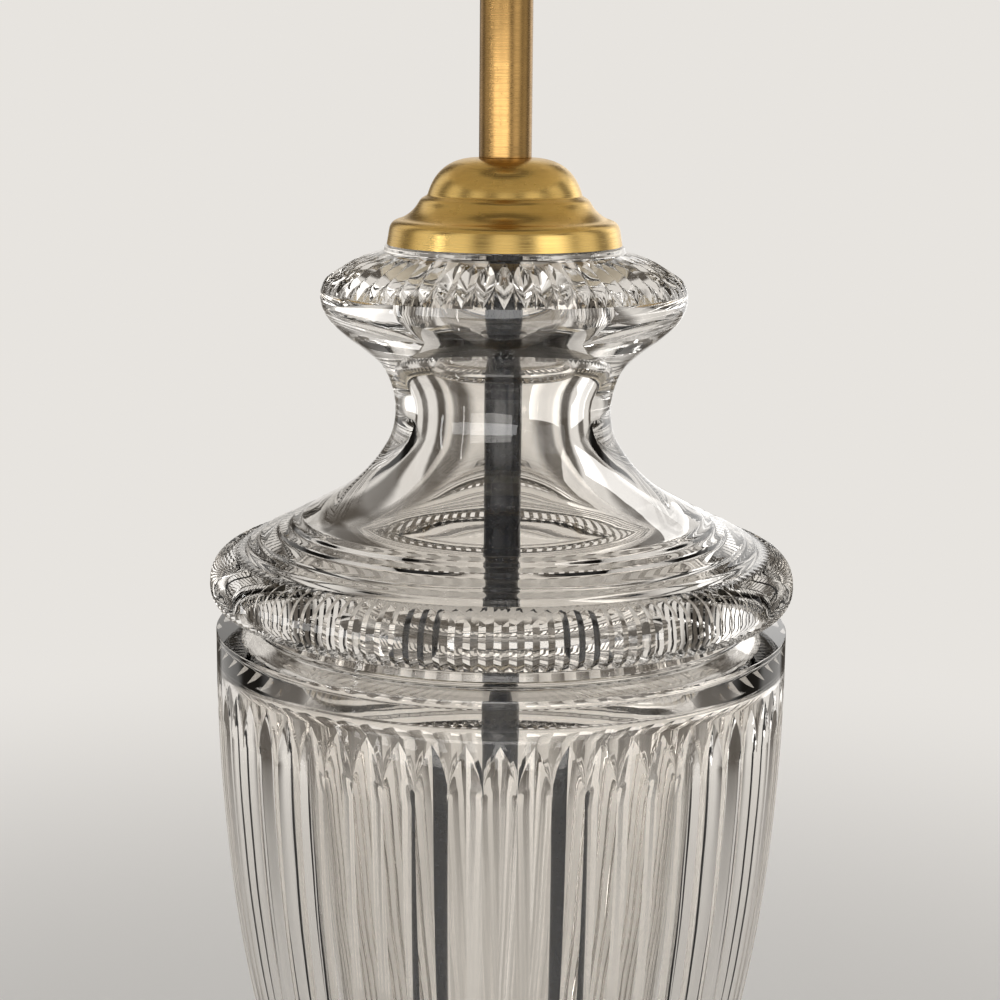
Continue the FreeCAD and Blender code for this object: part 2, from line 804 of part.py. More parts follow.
def bulb_insulator():
    """Black glass between the cap and the bulb's end contact."""
    floor_r = bulb_tip_r + bulb_tip_gap
    return turned(
        (bulb_tip_r, lamp_z + bulb_tip_h - bulb_tip_slope),
        (floor_r, lamp_z + bulb_tip_h),
        (floor_r, bulb_inside_z),
        (bulb_tip_r, bulb_inside_z),
    )


def bulb_contact():
    """Solder tip of the bulb."""
    return disc(bulb_tip_r, lamp_z, bulb_tip_h + bulb_floor_t)


def bulb_stem():
    """Glass stem that carries the filaments."""
    z = bulb_inside_z
    top = z + stem_h
    return turned((0, z), (bulb_tip_r, z), (stem_r, z + stem_foot_h), (stem_top_r, top), (0, top))


def bulb_filaments():
    """Straight filaments round the stem, with their ends in its foot."""
    z = lamp_z + bulb_cap_l + filament_lift
    stick = Part.makeCylinder(filament_r, filament_h, FreeCAD.Vector(filament_place_r, 0, z))
    leg_place = FreeCAD.Vector(0, 0, z + filament_leg_z)
    leg = Part.makeCylinder(filament_leg_r, filament_place_r, leg_place, ALONG_X)
    one = stick.fuse(leg).cut(bulb_stem())
    return Part.makeCompound(round_array(one, filament_count, 45.0))


# ---------------------------------------------------------------- shade
def shade_radius(z):
    """Outside radius of the shade's cover at a height."""
    return shade_bottom_r - shade_slope * (z - shade_z)


def shade_skin(inside, thickness, low, high):
    """A layer of the shade's wall between two heights, inside its outer face by the stated depth."""
    r_low = shade_radius(low) - inside
    r_high = shade_radius(high) - inside
    return turned((r_low, low), (r_high, high), (r_high - thickness, high), (r_low - thickness, low))


def hoop_radius(z):
    """Radius of a wire hoop that lies against the lining at a height."""
    return shade_radius(z) - cover_t - lining_t - wire_r - wire_clear


def wire_hoop(z):
    """Wire hoop inside the lining, eight-sided in section."""
    corners = []
    for k in range(8):
        angle = math.radians(22.5 + 45 * k)
        corners.append((hoop_radius(z) + wire_r * math.cos(angle), z + wire_r * math.sin(angle)))
    return turned(*corners)


def wire_run(start, end):
    """A straight length of wire."""
    return Part.makeCylinder(wire_r, (end - start).Length, start, end - start)


def shade_fitter():
    """Flat ring that sits on the lampholder between the two shade rings."""
    return ring(holder_thread_r + carrier_clear, shade_ring_r + carrier_rim, carrier_z, carrier_t)


def shade_arms():
    """Bent wires welded under the fitter's edge, which fall to the hoop at the shade's lower edge."""
    hoop_z = shade_z + hoop_lift
    arm_z = carrier_z + carrier_t - wire_r
    root = point(shade_ring_r + arm_root, arm_z)
    knee = point(shade_ring_r + arm_knee, arm_z)
    foot = point(hoop_radius(hoop_z) - arm_short, hoop_z)
    arm = wire_run(root, knee).fuse(Part.makeSphere(wire_r, knee)).fuse(wire_run(knee, foot))
    arm = arm.cut(shade_fitter()).cut(wire_hoop(hoop_z))
    return Part.makeCompound(round_array(arm, carrier_arms, 90.0))


def parts():
    """Every sub-part by name."""
    shade_top = shade_z + shade_h
    bore = rod_r + rod_clear
    cap_ring_r = collar_r - cap_ring_inset
    sleeve_l = cap_top_z - cap_wall - cup_floor_z
    shell_room = holder_shell_h - insulator_t - holder_lip_t
    return {
        "felt_pad": disc(foot_r - pad_inset, 0, pad_t),
        "foot_shell": foot_shell(),
        "base_weight": base_weight(),
        "inlet_grommet": inlet_grommet(),
        "base_spacer": ring(bore, spacer_r, foot_z + weight_t, foot_h - weight_t - foot_wall),
        "rod_nut": hex_nut(nut_flats, rod_r, nut_z, nut_h),
        "rod_washer": ring(bore, washer_r, washer_z, washer_t),
        "threaded_rod": ring(rod_bore_r, rod_r, rod_z, rod_top_z - rod_z),
        "bowl_cup": bowl_cup(),
        "bowl_gasket": ring(bowl_hole_r, bowl_foot_r - ring_inset, cup_floor_z, seat_ring_t),
        "glass_bowl": glass_bowl(),
        "lid_gasket": ring(bowl_mouth_r, lid_foot_r - lid_ring_inset, rim_z, lid_ring_t),
        "glass_lid": glass_lid(),
        "rod_sleeve": ring(bore, sleeve_r, cup_floor_z, sleeve_l),
        "cap_gasket": ring(cap_ring_r - cap_ring_w, cap_ring_r, lid_top_z, cap_ring_t),
        "vase_cap": vase_cap(),
        "cap_locknut": hex_nut(locknut_flats, rod_r, cap_top_z, locknut_h),
        "neck_tube": ring(neck_in, neck_r, cap_top_z, neck_l),
        "neck_bush": neck_bush(),
        "holder_cap": holder_cap(),
        "holder_grub_screw": grub_screw(),
        "switch_block": switch_block(),
        "switch_bar": switch_bar(),
        "terminal_screws": terminal_screws(),
        "holder_insulator": holder_insulator(),
        "centre_contact": disc(contact_r, contact_z, contact_t),
        "screw_shell": ring(lamp_thread_r, lamp_thread_r + lamp_thread_t, contact_z, shell_room),
        "holder_liner": ring(lamp_thread_r + lamp_thread_t, holder_r - holder_wall, contact_z, shell_room),
        "holder_shell": holder_shell(),
        "shade_ring_lower": shade_ring(carrier_z, -1, 0),
        "shade_ring_upper": shade_ring(upper_ring_z, 1, ring_clear),
        "bulb_cap": bulb_cap(),
        "bulb_insulator": bulb_insulator(),
        "bulb_contact": bulb_contact(),
        "bulb_stem": bulb_stem(),
        "bulb_filaments": bulb_filaments(),
        "bulb_glass": bulb_glass(),
        "shade_fitter": shade_fitter(),
        "shade_arms": shade_arms(),
        "shade_bottom_hoop": wire_hoop(shade_z + hoop_lift),
        "shade_top_hoop": wire_hoop(shade_top - hoop_lift),
        "shade_cover": shade_skin(0, cover_t, shade_z, shade_top),
        "shade_lining": shade_skin(cover_t, lining_t, shade_z, shade_top),
        "shade_tape_top": shade_skin(-tape_t, tape_t, shade_top - tape_w, shade_top),
        "shade_tape_bottom": shade_skin(-tape_t, tape_t, shade_z, shade_z + tape_w),
    }


os.makedirs("parts", exist_ok=True)
for name, shape in parts().items():
    shape.exportStep("parts/%s.step" % name)
    print("%-20s %8.1f cm3" % (name, shape.Volume / 1000.0))
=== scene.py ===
import math

import bpy
import numpy as np
from mathutils import Matrix, Vector
from bpy.props import FloatProperty, FloatVectorProperty, IntProperty, PointerProperty


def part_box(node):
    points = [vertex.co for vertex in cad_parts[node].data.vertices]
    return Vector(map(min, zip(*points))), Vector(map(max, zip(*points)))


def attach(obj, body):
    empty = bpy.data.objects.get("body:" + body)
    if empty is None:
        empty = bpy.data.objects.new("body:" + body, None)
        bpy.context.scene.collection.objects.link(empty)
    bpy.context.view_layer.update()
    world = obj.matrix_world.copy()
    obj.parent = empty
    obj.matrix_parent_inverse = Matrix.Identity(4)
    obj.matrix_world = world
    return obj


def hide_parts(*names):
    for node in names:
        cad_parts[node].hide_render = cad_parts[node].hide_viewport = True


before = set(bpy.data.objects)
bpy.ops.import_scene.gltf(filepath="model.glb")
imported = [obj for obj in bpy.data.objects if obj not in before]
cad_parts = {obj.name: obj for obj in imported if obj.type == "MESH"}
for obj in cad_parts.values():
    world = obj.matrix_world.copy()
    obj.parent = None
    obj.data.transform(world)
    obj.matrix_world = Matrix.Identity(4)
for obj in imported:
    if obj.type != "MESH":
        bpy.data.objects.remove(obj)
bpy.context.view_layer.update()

bl_info = {
    "name": "Cut-glass urn lamp",
    "version": (1, 0, 0),
    "blender": (4, 5, 0),
    "location": "View3D > Sidebar > Lamp",
    "description": "Dresses a table lamp on a covered cut-glass urn over its CAD frame",
    "category": "Object",
}

MM = 0.001


# ---------------------------------------------------------------- sizes and colours that a user would change
def length(label, about, default):
    """A size in metres."""
    return FloatProperty(name=label, description=about, default=default, min=0.0, unit="LENGTH", precision=5)


def colour(label, about, default):
    """A linear colour."""
    return FloatVectorProperty(name=label, description=about, default=default, size=3, min=0.0, max=1.0,
                               subtype="COLOR")


def power(label, about, default):
    """A light's power in watts."""
    return FloatProperty(name=label, description=about, default=default, min=0.0, unit="POWER")


class LampGlassSettings(bpy.types.PropertyGroup):
    """The cut glass of bowl and lid."""
    bowl_flutes: IntProperty(name="Bowl flutes", description="V flutes round the bowl", default=58, min=3)
    bowl_depth: length("Bowl flute depth", "Ridge to groove where the bowl is widest", 0.0021)
    leaves: IntProperty(name="Knop leaves", description="Leaf cuts round the knop", default=58, min=3)
    leaf_depth: length("Leaf depth", "Depth of a leaf's middle crease", 0.0023)
    bead_flutes: IntProperty(name="Bead flutes", description="Flutes round the bead", default=132, min=3)
    bead_depth: length("Bead flute depth", "Ridge to groove on the bead", 0.0012)
    tint: colour("Glass tint", "Slight smoke of the glass", (0.93, 0.905, 0.87))


class LampMetalSettings(bpy.types.PropertyGroup):
    """Brass, steel and coatings."""
    satin: colour("Satin brass", "Gold brass of cap, foot and cup", (0.90, 0.62, 0.21))
    satin_dark: colour("Satin brass, toned", "The same brass where it has toned", (0.56, 0.33, 0.07))
    antique: colour("Antique brass", "Darker brass of neck and lampholder", (0.40, 0.24, 0.085))
    steel: colour("Plated steel", "Nuts, rod and screws", (0.60, 0.58, 0.54))
    sleeve: colour("Sleeve", "Blue-black gloss of the sleeve", (0.006, 0.009, 0.016))


class LampShadeSettings(bpy.types.PropertyGroup):
    """The shade's cloth, lining and wire."""
    linen: colour("Linen", "Yarn colour of the shade's cover", (0.33, 0.265, 0.19))
    lining: colour("Lining", "Laminate inside the shade", (0.86, 0.80, 0.68))
    wire: colour("Wire", "Coating of the shade's frame", (0.82, 0.80, 0.75))
    yarn: length("Yarn pitch", "Distance between two yarns of the linen", 0.0008)


class LampStageSettings(bpy.types.PropertyGroup):
    """Floor, backdrop, lights and camera."""
    backdrop: colour("Backdrop", "Pale floor and background", (0.80, 0.775, 0.74))
    gap: colour("Gaps", "Darker gaps between the pale screens round the table, seen in glass and metal",
                (0.10, 0.088, 0.075))
    key_power: power("Key light", "Large soft light, low in front, that also reaches into the shade", 15.0)
    fill_power: power("Fill light", "Soft light, front right", 3.5)
    back_power: power("Back light", "Soft light behind, right", 3.0)
    strip_power: power("Strip light", "Narrow upright light, left, for a thin line on tube and sleeve", 1.2)
    ambient: FloatProperty(name="Ambient", description="Level of the surroundings on dull surfaces",
                           default=0.55, min=0.0)


# ---------------------------------------------------------------- outlines and surfaces
def outline(places, closed=True, bend=14):
    """Rows (r, z) along an outline through places (r, z, bow of the run to the next, rounding of the corner).

    A run is the straight line between two places plus 4 t (1 - t) times its bow, to the right of the run.
    A corner is the quadratic curve from its rounding's length before the place to the same length after it.
    """
    places = [tuple(place) + (0.0,) * (4 - len(place)) for place in places]
    count = len(places)
    at = np.array([place[:2] for place in places], float)
    last = count if closed else count - 1
    spans = [np.linalg.norm(at[(k + 1) % count] - at[k]) for k in range(last)]
    cuts = []
    for k, place in enumerate(places):
        near = [spans[k - 1]] if closed or k > 0 else []
        near += [spans[k]] if closed or k < last else []
        cuts.append(min(place[3], 0.45 * min(near)) if closed or 0 < k < count - 1 else 0.0)

    def along(k, t):
        start, end = at[k], at[(k + 1) % count]
        side = np.array([end[1] - start[1], start[0] - end[0]]) / spans[k]
        t = np.asarray(t)[:, None]
        return start + (end - start) * t + side * places[k][2] * 4 * t * (1 - t)

    rows = []
    for k in range(last):
        low, high = cuts[k] / spans[k], 1 - cuts[(k + 1) % count] / spans[k]
        run = along(k, np.linspace(low, high, bend if places[k][2] else 2))
        if rows and cuts[k] > 0:
            t = np.linspace(0, 1, 5)[1:-1, None]
            rows.append((1 - t) ** 2 * rows[-1][-1] + 2 * t * (1 - t) * at[k] + t ** 2 * run[0])
        rows.append(run if cuts[k] > 0 or not rows else run[1:])
    if closed:
        if cuts[0] > 0:
            t = np.linspace(0, 1, 5)[1:-1, None]
            rows.append((1 - t) ** 2 * rows[-1][-1] + 2 * t * (1 - t) * at[0] + t ** 2 * rows[0][0])
        else:
            rows[-1] = rows[-1][:-1]
    return np.concatenate(rows)


def opened(*places, bend=14):
    """Rows along an outline that stays open."""
    return outline(places, closed=False, bend=bend)


def softened(rows, blur, step=0.12):
    """Rows of an outline resampled every step and averaged along it with a bell curve of width blur, in
    millimetres.  The ends stay."""
    length_at = np.concatenate([[0.0], np.cumsum(np.linalg.norm(np.diff(rows, axis=0), axis=1))])
    place = np.linspace(0, length_at[-1], int(length_at[-1] / step) + 1)
    even = np.stack([np.interp(place, length_at, rows[:, k]) for k in (0, 1)], axis=1)
    reach = int(3 * blur / step)
    bell = np.exp(-0.5 * (np.arange(-reach, reach + 1) * step / blur) ** 2)
    padded = np.concatenate([2 * even[0] - even[reach:0:-1], even, 2 * even[-1] - even[-2:-reach - 2:-1]])
    soft = [np.convolve(padded[:, k], bell / bell.sum(), mode="valid") for k in (0, 1)]
    return np.stack(soft, axis=1)


def flowing(points, count):
    """Rows along a smooth curve through points: cubic pieces, whose slope at a point is the one that its two
    neighbours give."""
    at = np.array(points, float)
    knots = np.concatenate([[0.0], np.cumsum(np.linalg.norm(np.diff(at, axis=0), axis=1))])
    slope = np.gradient(at, knots, axis=0)
    place = np.linspace(0, knots[-1], count)
    k = np.clip(np.searchsorted(knots, place, side="right") - 1, 0, len(at) - 2)
    step = (knots[k + 1] - knots[k])[:, None]
    t = (place - knots[k])[:, None] / step
    return ((2 * t ** 3 - 3 * t ** 2 + 1) * at[k] + (t ** 3 - 2 * t ** 2 + t) * step * slope[k]
            + (3 * t ** 2 - 2 * t ** 3) * at[k + 1] + (t ** 3 - t ** 2) * step * slope[k + 1])


def walled(outside, wall):
    """A closed section: an outer outline that climbs, and the same moved wall to its left, back down."""
    run = np.gradient(outside, axis=0)
    run /= np.linalg.norm(run, axis=1)[:, None]
    left = np.stack([-run[:, 1], run[:, 0]], axis=1)
    inside = outside + wall * left
    inside[0, 1] = outside[0, 1]
    return np.concatenate([outside, inside[::-1]])


def ring_rows(inner, outer, low, high, *edges):
    """Rows of a ring of rectangular section.  edges round its four corners, or one value rounds them all."""
    edges = edges * 4 if len(edges) == 1 else edges
    corners = ((inner, low), (outer, low), (outer, high), (inner, high))
    return outline([(r, z, 0, edge) for (r, z), edge in zip(corners, edges)])


def turns(columns):
    """Even angles round the axis."""
    return np.arange(columns) * 2 * math.pi / columns


def placed_round(r, angle, z):
    """Points in metres at a radius and a height in millimetres, and at an angle round the axis."""
    return np.stack(np.broadcast_arrays(r * np.cos(angle), r * np.sin(angle), z), axis=-1) * MM


def skin(name, points, wrap=True, poles=(None, None), crease=32.0):
    """A mesh over a grid of points (rows, columns, xyz) in metres.

    Columns go round and close.  Rows close when wrap is set, and otherwise end in poles, single points on the
    axis.  Faces look out when the outer rows climb.  The UV map is unrolled, in metres: along the row, and
    along the column.
    """
    rows, columns = points.shape[:2]
    index = np.arange(rows * columns).reshape(rows, columns)
    right = np.roll(index, -1, axis=1)
    quads = np.stack([index, right, np.roll(right, -1, axis=0), np.roll(index, -1, axis=0)], axis=-1)
    quads = quads if wrap else quads[:-1]
    corners = [quads.reshape(-1, 4)]
    verts = [points.reshape(-1, 3)]

    reach = np.hypot(points[..., 0], points[..., 1]).mean()
    turn = np.arange(columns + 1) / columns
    u = np.broadcast_to(turn * 2 * math.pi * reach, (len(quads), columns + 1))
    steps = np.linalg.norm(np.diff(np.concatenate([points, points[:1]]), axis=0), axis=2).mean(axis=1)
    v = np.concatenate([[0.0], np.cumsum(steps)])[:, None]
    low, high = np.broadcast_to(v[:len(quads)], (len(quads), columns)), v[1:len(quads) + 1]
    high = np.broadcast_to(high, (len(quads), columns))
    before, after = u[:, :-1], u[:, 1:]
    face_corners = ((before, low), (after, low), (after, high), (before, high))
    around_face = [np.stack(pair, -1) for pair in face_corners]
    maps = [np.stack(around_face, axis=2).reshape(-1, 2)]
    total = rows * columns
    ends_of_grid = ((poles[0], 0, True, v[0, 0]), (poles[1], rows - 1, False, v[rows - 1, 0]))
    for pole, row, flip, height in ends_of_grid:
        if pole is not None:
            verts.append(np.array([[0.0, 0.0, pole]]))
            tip = np.full(columns, total)
            ring = (index[row], right[row])
            fan = np.stack([ring[1], ring[0], tip] if flip else [ring[0], ring[1], tip], axis=-1)
            ends = (u[0, 1:], u[0, :-1]) if flip else (u[0, :-1], u[0, 1:])
            middle = 0.5 * (ends[0] + ends[1])
            flat = np.full(columns, height)
            maps.append(np.stack([np.stack([ends[0], flat], -1), np.stack([ends[1], flat], -1),
                                  np.stack([middle, flat], -1)], axis=1).reshape(-1, 2))
            corners.append(fan)
            total += 1
    mesh = bpy.data.meshes.new(name)
    mesh.from_pydata(np.concatenate(verts).tolist(), [], [face for part in corners for face in part.tolist()])
    unrolled = mesh.uv_layers.new(name="unrolled")
    unrolled.data.foreach_set("uv", np.concatenate(maps).astype(np.float32).ravel())
    mesh.shade_smooth()
    mesh.set_sharp_from_angle(angle=math.radians(crease))
    mesh.update()
    piece = bpy.data.objects.new(name, mesh)
    bpy.context.scene.collection.objects.link(piece)
    return piece


def turned(name, rows, columns=160, wrap=True, poles=(None, None), crease=32.0, warp=None):
    """A surface of revolution: a row's radius r and height z, in millimetres, give r cos a, r sin a, z at an
    angle a.  warp(angle, r, z) may change the radius, and is given and gives back whole arrays."""
    angle = turns(columns)
    r, z = rows[:, :1], rows[:, 1:]
    if warp:
        r = warp(angle, r, z)
    return skin(name, placed_round(r, angle, z), wrap, tuple(p and p * MM for p in poles), crease)


def swept(name, path, radius, sides=12, closed=False):
    """A round wire along a path in millimetres: at each place a circle of the radius, square to the path.  An
    open wire's ends close to a circle of a fiftieth of the radius."""
    path = np.array(path, float)
    ahead = np.roll(path, -1, axis=0) - np.roll(path, 1, axis=0) if closed else np.gradient(path, axis=0)
    ahead /= np.linalg.norm(ahead, axis=1)[:, None]
    side = np.cross(ahead, np.array([0.0, 0.0, 1.0]))
    side /= np.linalg.norm(side, axis=1)[:, None]
    up = np.cross(side, ahead)
    angle = turns(sides)[:, None]
    points = path[:, None] + radius * (side[:, None] * np.cos(angle) + up[:, None] * np.sin(angle))
    if not closed:
        ends = np.repeat(path[[0, -1], None], sides, axis=1)
        ends += 0.02 * (points[[0, -1]] - ends)
        points = np.concatenate([ends[:1], points, ends[1:]])
    return skin(name, points * MM, closed, (None, None), 50.0)


def copied(name, node, crease=30.0, same_place=2e-6):
    """A copy of a CAD node's triangles, joined where corners share a place, and smooth where faces meet at a
    small angle."""
    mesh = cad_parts[node].data.copy()
    mesh.name = name
    mesh.materials.clear()
    piece = bpy.data.objects.new(name, mesh)
    bpy.context.scene.collection.objects.link(piece)
    co = np.empty(len(mesh.vertices) * 3)
    mesh.vertices.foreach_get("co", co)
    whole = np.round(co.reshape(-1, 3) / same_place).astype(np.int64)
    _, first, same = np.unique(whole, axis=0, return_index=True, return_inverse=True)
    faces = np.empty(len(mesh.loops), int)
    mesh.loops.foreach_get("vertex_index", faces)
    faces = same.ravel()[faces].reshape(-1, 3)
    good = (faces[:, 0] != faces[:, 1]) & (faces[:, 1] != faces[:, 2]) & (faces[:, 2] != faces[:, 0])
    joined = bpy.data.meshes.new(name + "_skin")
    joined.from_pydata(co.reshape(-1, 3)[first].tolist(), [], faces[good].tolist())
    joined.shade_smooth()
    joined.set_sharp_from_angle(angle=math.radians(crease))
    piece.data = joined
    bpy.data.meshes.remove(mesh)
    return piece


def dress(piece, body, finish, slot, *nodes):
    """The piece gets its finish, rides on its body and stands for its CAD nodes."""
    piece.data.materials.clear()
    piece.data.materials.append(finish)
    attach(piece, body)
    if nodes:
        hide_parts(*nodes)
    return piece


def heights(node):
    """Lowest and highest height of a CAD node, in millimetres."""
    low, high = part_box(node)
    return low.z / MM, high.z / MM


def base_z(node):
    """Lowest height of a CAD node, in millimetres."""
    return heights(node)[0]


def toned(share, rgb):
    """A colour times a share."""
    return tuple(share * c for c in rgb)


# ---------------------------------------------------------------- shader nodes
def put(tree, kind, settings=None, **inputs):
    """A node with its settings, and inputs given as values or as the sockets that feed them.  An input goes
    by its name, with _ for a space, or by n and its number."""
    node = tree.nodes.new(kind)
    for key, value in (settings or {}).items():
        setattr(node, key, value)
    for key, value in inputs.items():
        numbered = key[0] == "n" and key[1:].isdigit()
        socket = node.inputs[int(key[1:]) if numbered else key.replace("_", " ")]
        if isinstance(value, bpy.types.NodeSocket):
            tree.links.new(value, socket)
        else:
            socket.default_value = value
    return node


def calc(tree, operation, *values):
    """A sum, product or other step of arithmetic on values or sockets."""
    named = {"n%d" % k: value for k, value in enumerate(values)}
    return put(tree, "ShaderNodeMath", {"operation": operation}, **named).outputs[0]


def between(tree, value, low, high, to_low=0.0, to_high=1.0):
    """value taken from low and high to two others, smoothly and no further."""
    return put(tree, "ShaderNodeMapRange", {"interpolation_type": "SMOOTHSTEP"}, Value=value, From_Min=low,
               From_Max=high, To_Min=to_low, To_Max=to_high).outputs[0]


def blended(tree, share, first, second):
    """A colour between two others."""
    node = put(tree, "ShaderNodeMix", {"data_type": "RGBA"})
    for socket, value in ((node.inputs[0], share), (node.inputs[6], first), (node.inputs[7], second)):
        if isinstance(value, bpy.types.NodeSocket):
            tree.links.new(value, socket)
        else:
            socket.default_value = value if isinstance(value, float) else (*value[:3], 1.0)
    return node.outputs[2]


def length_of(tree, x, y):
    """The root of x times x plus y times y."""
    return calc(tree, "SQRT", calc(tree, "ADD", calc(tree, "MULTIPLY", x, x), calc(tree, "MULTIPLY", y, y)))


def group(name, inputs, outputs):
    """An empty node group with named number inputs, given with their defaults, and named outputs."""
    tree = bpy.data.node_groups.new(name, "ShaderNodeTree")
    for label, default in inputs.items():
        socket = tree.interface.new_socket(name=label, in_out="INPUT", socket_type="NodeSocketFloat")
        socket.default_value = default
    for label in outputs:
        tree.interface.new_socket(name=label, in_out="OUTPUT", socket_type="NodeSocketFloat")
    start = tree.nodes.new("NodeGroupInput")
    end = tree.nodes.new("NodeGroupOutput")
    return tree, start.outputs, end.inputs


def round_brushing():
    """Fine lines round the axis: noise over (radius, height) with hardly any change along the turn.
    Puts out the lines' Height and a slow, cloudy Tone."""
    tree, given, out = group("round_brushing", {"Line": 0.00025}, ("Height", "Tone"))
    spot = tree.nodes.new("ShaderNodeTexCoord").outputs["Object"]
    x, y, z = put(tree, "ShaderNodeSeparateXYZ", Vector=spot).outputs
    radius = length_of(tree, x, y)
    fine = calc(tree, "DIVIDE", 1.0, given["Line"])
    turn = calc(tree, "ARCTAN2", y, x)
    lines = put(tree, "ShaderNodeCombineXYZ", X=calc(tree, "MULTIPLY", radius, fine),
                Y=calc(tree, "MULTIPLY", calc(tree, "SINE", turn), 1.6), Z=calc(tree, "MULTIPLY", z, fine))
    noise = put(tree, "ShaderNodeTexNoise", Vector=lines.outputs[0], Scale=1.0, Detail=3.0, Roughness=0.65)
    cloud = put(tree, "ShaderNodeTexNoise", Vector=spot, Scale=38.0, Detail=4.0, Roughness=0.6)
    tree.links.new(noise.outputs[0], out["Height"])
    tree.links.new(between(tree, cloud.outputs[0], 0.35, 0.70), out["Tone"])
    return tree


def grain():
    """Even grain for moulded, cast and coated surfaces: Height from fine noise, Tone from slow noise."""
    tree, given, out = group("grain", {"Size": 0.0006}, ("Height", "Tone"))
    spot = tree.nodes.new("ShaderNodeTexCoord").outputs["Object"]
    scale = calc(tree, "DIVIDE", 1.0, given["Size"])
    fine = put(tree, "ShaderNodeTexNoise", Vector=spot, Scale=scale, Detail=2.0)
    slow = put(tree, "ShaderNodeTexNoise", Vector=spot, Scale=45.0, Detail=3.0)
    tree.links.new(fine.outputs[0], out["Height"])
    tree.links.new(between(tree, slow.outputs[0], 0.3, 0.7), out["Tone"])
    return tree


def dust():
    """Sparse dust as a Mask: small specks where fine noise peaks, over cloudy patches."""
    tree, given, out = group("dust", {"Amount": 0.5}, ("Mask",))
    spot = tree.nodes.new("ShaderNodeTexCoord").outputs["Object"]
    specks = put(tree, "ShaderNodeTexNoise", Vector=spot, Scale=900.0, Detail=2.0)
    patches = put(tree, "ShaderNodeTexNoise", Vector=spot, Scale=30.0, Detail=3.0)
    both = calc(tree, "MULTIPLY", between(tree, specks.outputs[0], 0.60, 0.74),
                between(tree, patches.outputs[0], 0.45, 0.65))
    tree.links.new(calc(tree, "MULTIPLY", both, given["Amount"]), out["Mask"])
    return tree


def weave():
    """Plain weave on the UV map: warp and weft are half waves that pass over each other in turn.
    Yarns swell and thin with noise drawn out along them.  Puts out Height, Tone, which is painted shade that
    is dark where the yarns lie low, and Slub."""
    tree, given, out = group("weave", {"Pitch": 0.0008}, ("Height", "Tone", "Slub"))
    flat = tree.nodes.new("ShaderNodeTexCoord").outputs["UV"]
    u, v, _ = put(tree, "ShaderNodeSeparateXYZ", Vector=flat).outputs
    turn = calc(tree, "DIVIDE", math.pi, given["Pitch"])
    slubs = []
    for along, across in ((u, v), (v, u)):
        drawn = put(tree, "ShaderNodeCombineXYZ", X=calc(tree, "MULTIPLY", along, 60.0),
                    Y=calc(tree, "DIVIDE", across, given["Pitch"]))
        noise = put(tree, "ShaderNodeTexNoise", Vector=drawn.outputs[0], Scale=1.0, Detail=2.0)
        slubs.append(noise.outputs[0])
    warp = calc(tree, "SINE", calc(tree, "MULTIPLY", u, turn))
    weft = calc(tree, "SINE", calc(tree, "MULTIPLY", v, turn))
    over = calc(tree, "MULTIPLY", warp, weft)
    yarn_a = calc(tree, "MULTIPLY", calc(tree, "ABSOLUTE", warp), slubs[1])
    yarn_b = calc(tree, "MULTIPLY", calc(tree, "ABSOLUTE", weft), slubs[0])
    side = between(tree, over, -0.3, 0.3)
    height = calc(tree, "ADD", calc(tree, "MULTIPLY", yarn_a, side),
                  calc(tree, "MULTIPLY", yarn_b, calc(tree, "SUBTRACT", 1.0, side)))
    slub = calc(tree, "MULTIPLY", calc(tree, "ADD", slubs[0], slubs[1]), 0.5)
    tree.links.new(height, out["Height"])
    # Tone is painted shade: low between the yarns, high on their tops.
    tree.links.new(between(tree, height, 0.0, 0.5), out["Tone"])
    tree.links.new(between(tree, slub, 0.38, 0.64), out["Slub"])
    return tree


GROUPS = {}


def shared(builder):
    """The node group of a builder, made once."""
    if builder.__name__ not in GROUPS:
        GROUPS[builder.__name__] = builder()
    return GROUPS[builder.__name__]


def placed(tree, builder, **inputs):
    """A shared node group placed in a material."""
    node = tree.nodes.new("ShaderNodeGroup")
    node.node_tree = shared(builder)
    for key, value in inputs.items():
        node.inputs[key].default_value = value
    return node.outputs


FINISHES = {}
# Painted shade: the near-black colour of the cap's inner faces, which lie in shade under the cap.
SHADED_RAW_METAL = (0.055, 0.040, 0.028)


def finish(name, **constants):
    """A material with one Principled shader, and constants on its own sockets.  It is made once: later calls
    give the material alone."""
    if name in FINISHES:
        return FINISHES[name], None, None
    material = FINISHES[name] = bpy.data.materials.new(name)
    material.use_nodes = True
    tree = material.node_tree
    shader = tree.nodes["Principled BSDF"]
    for key, value in constants.items():
        shader.inputs[key.replace("_", " ")].default_value = value
    return material, tree, shader


def bumped(tree, shader, height, strength, distance):
    """The shader's Normal from a height."""
    bump = put(tree, "ShaderNodeBump", Strength=strength, Distance=distance, Height=height)
    tree.links.new(bump.outputs[0], shader.inputs["Normal"])


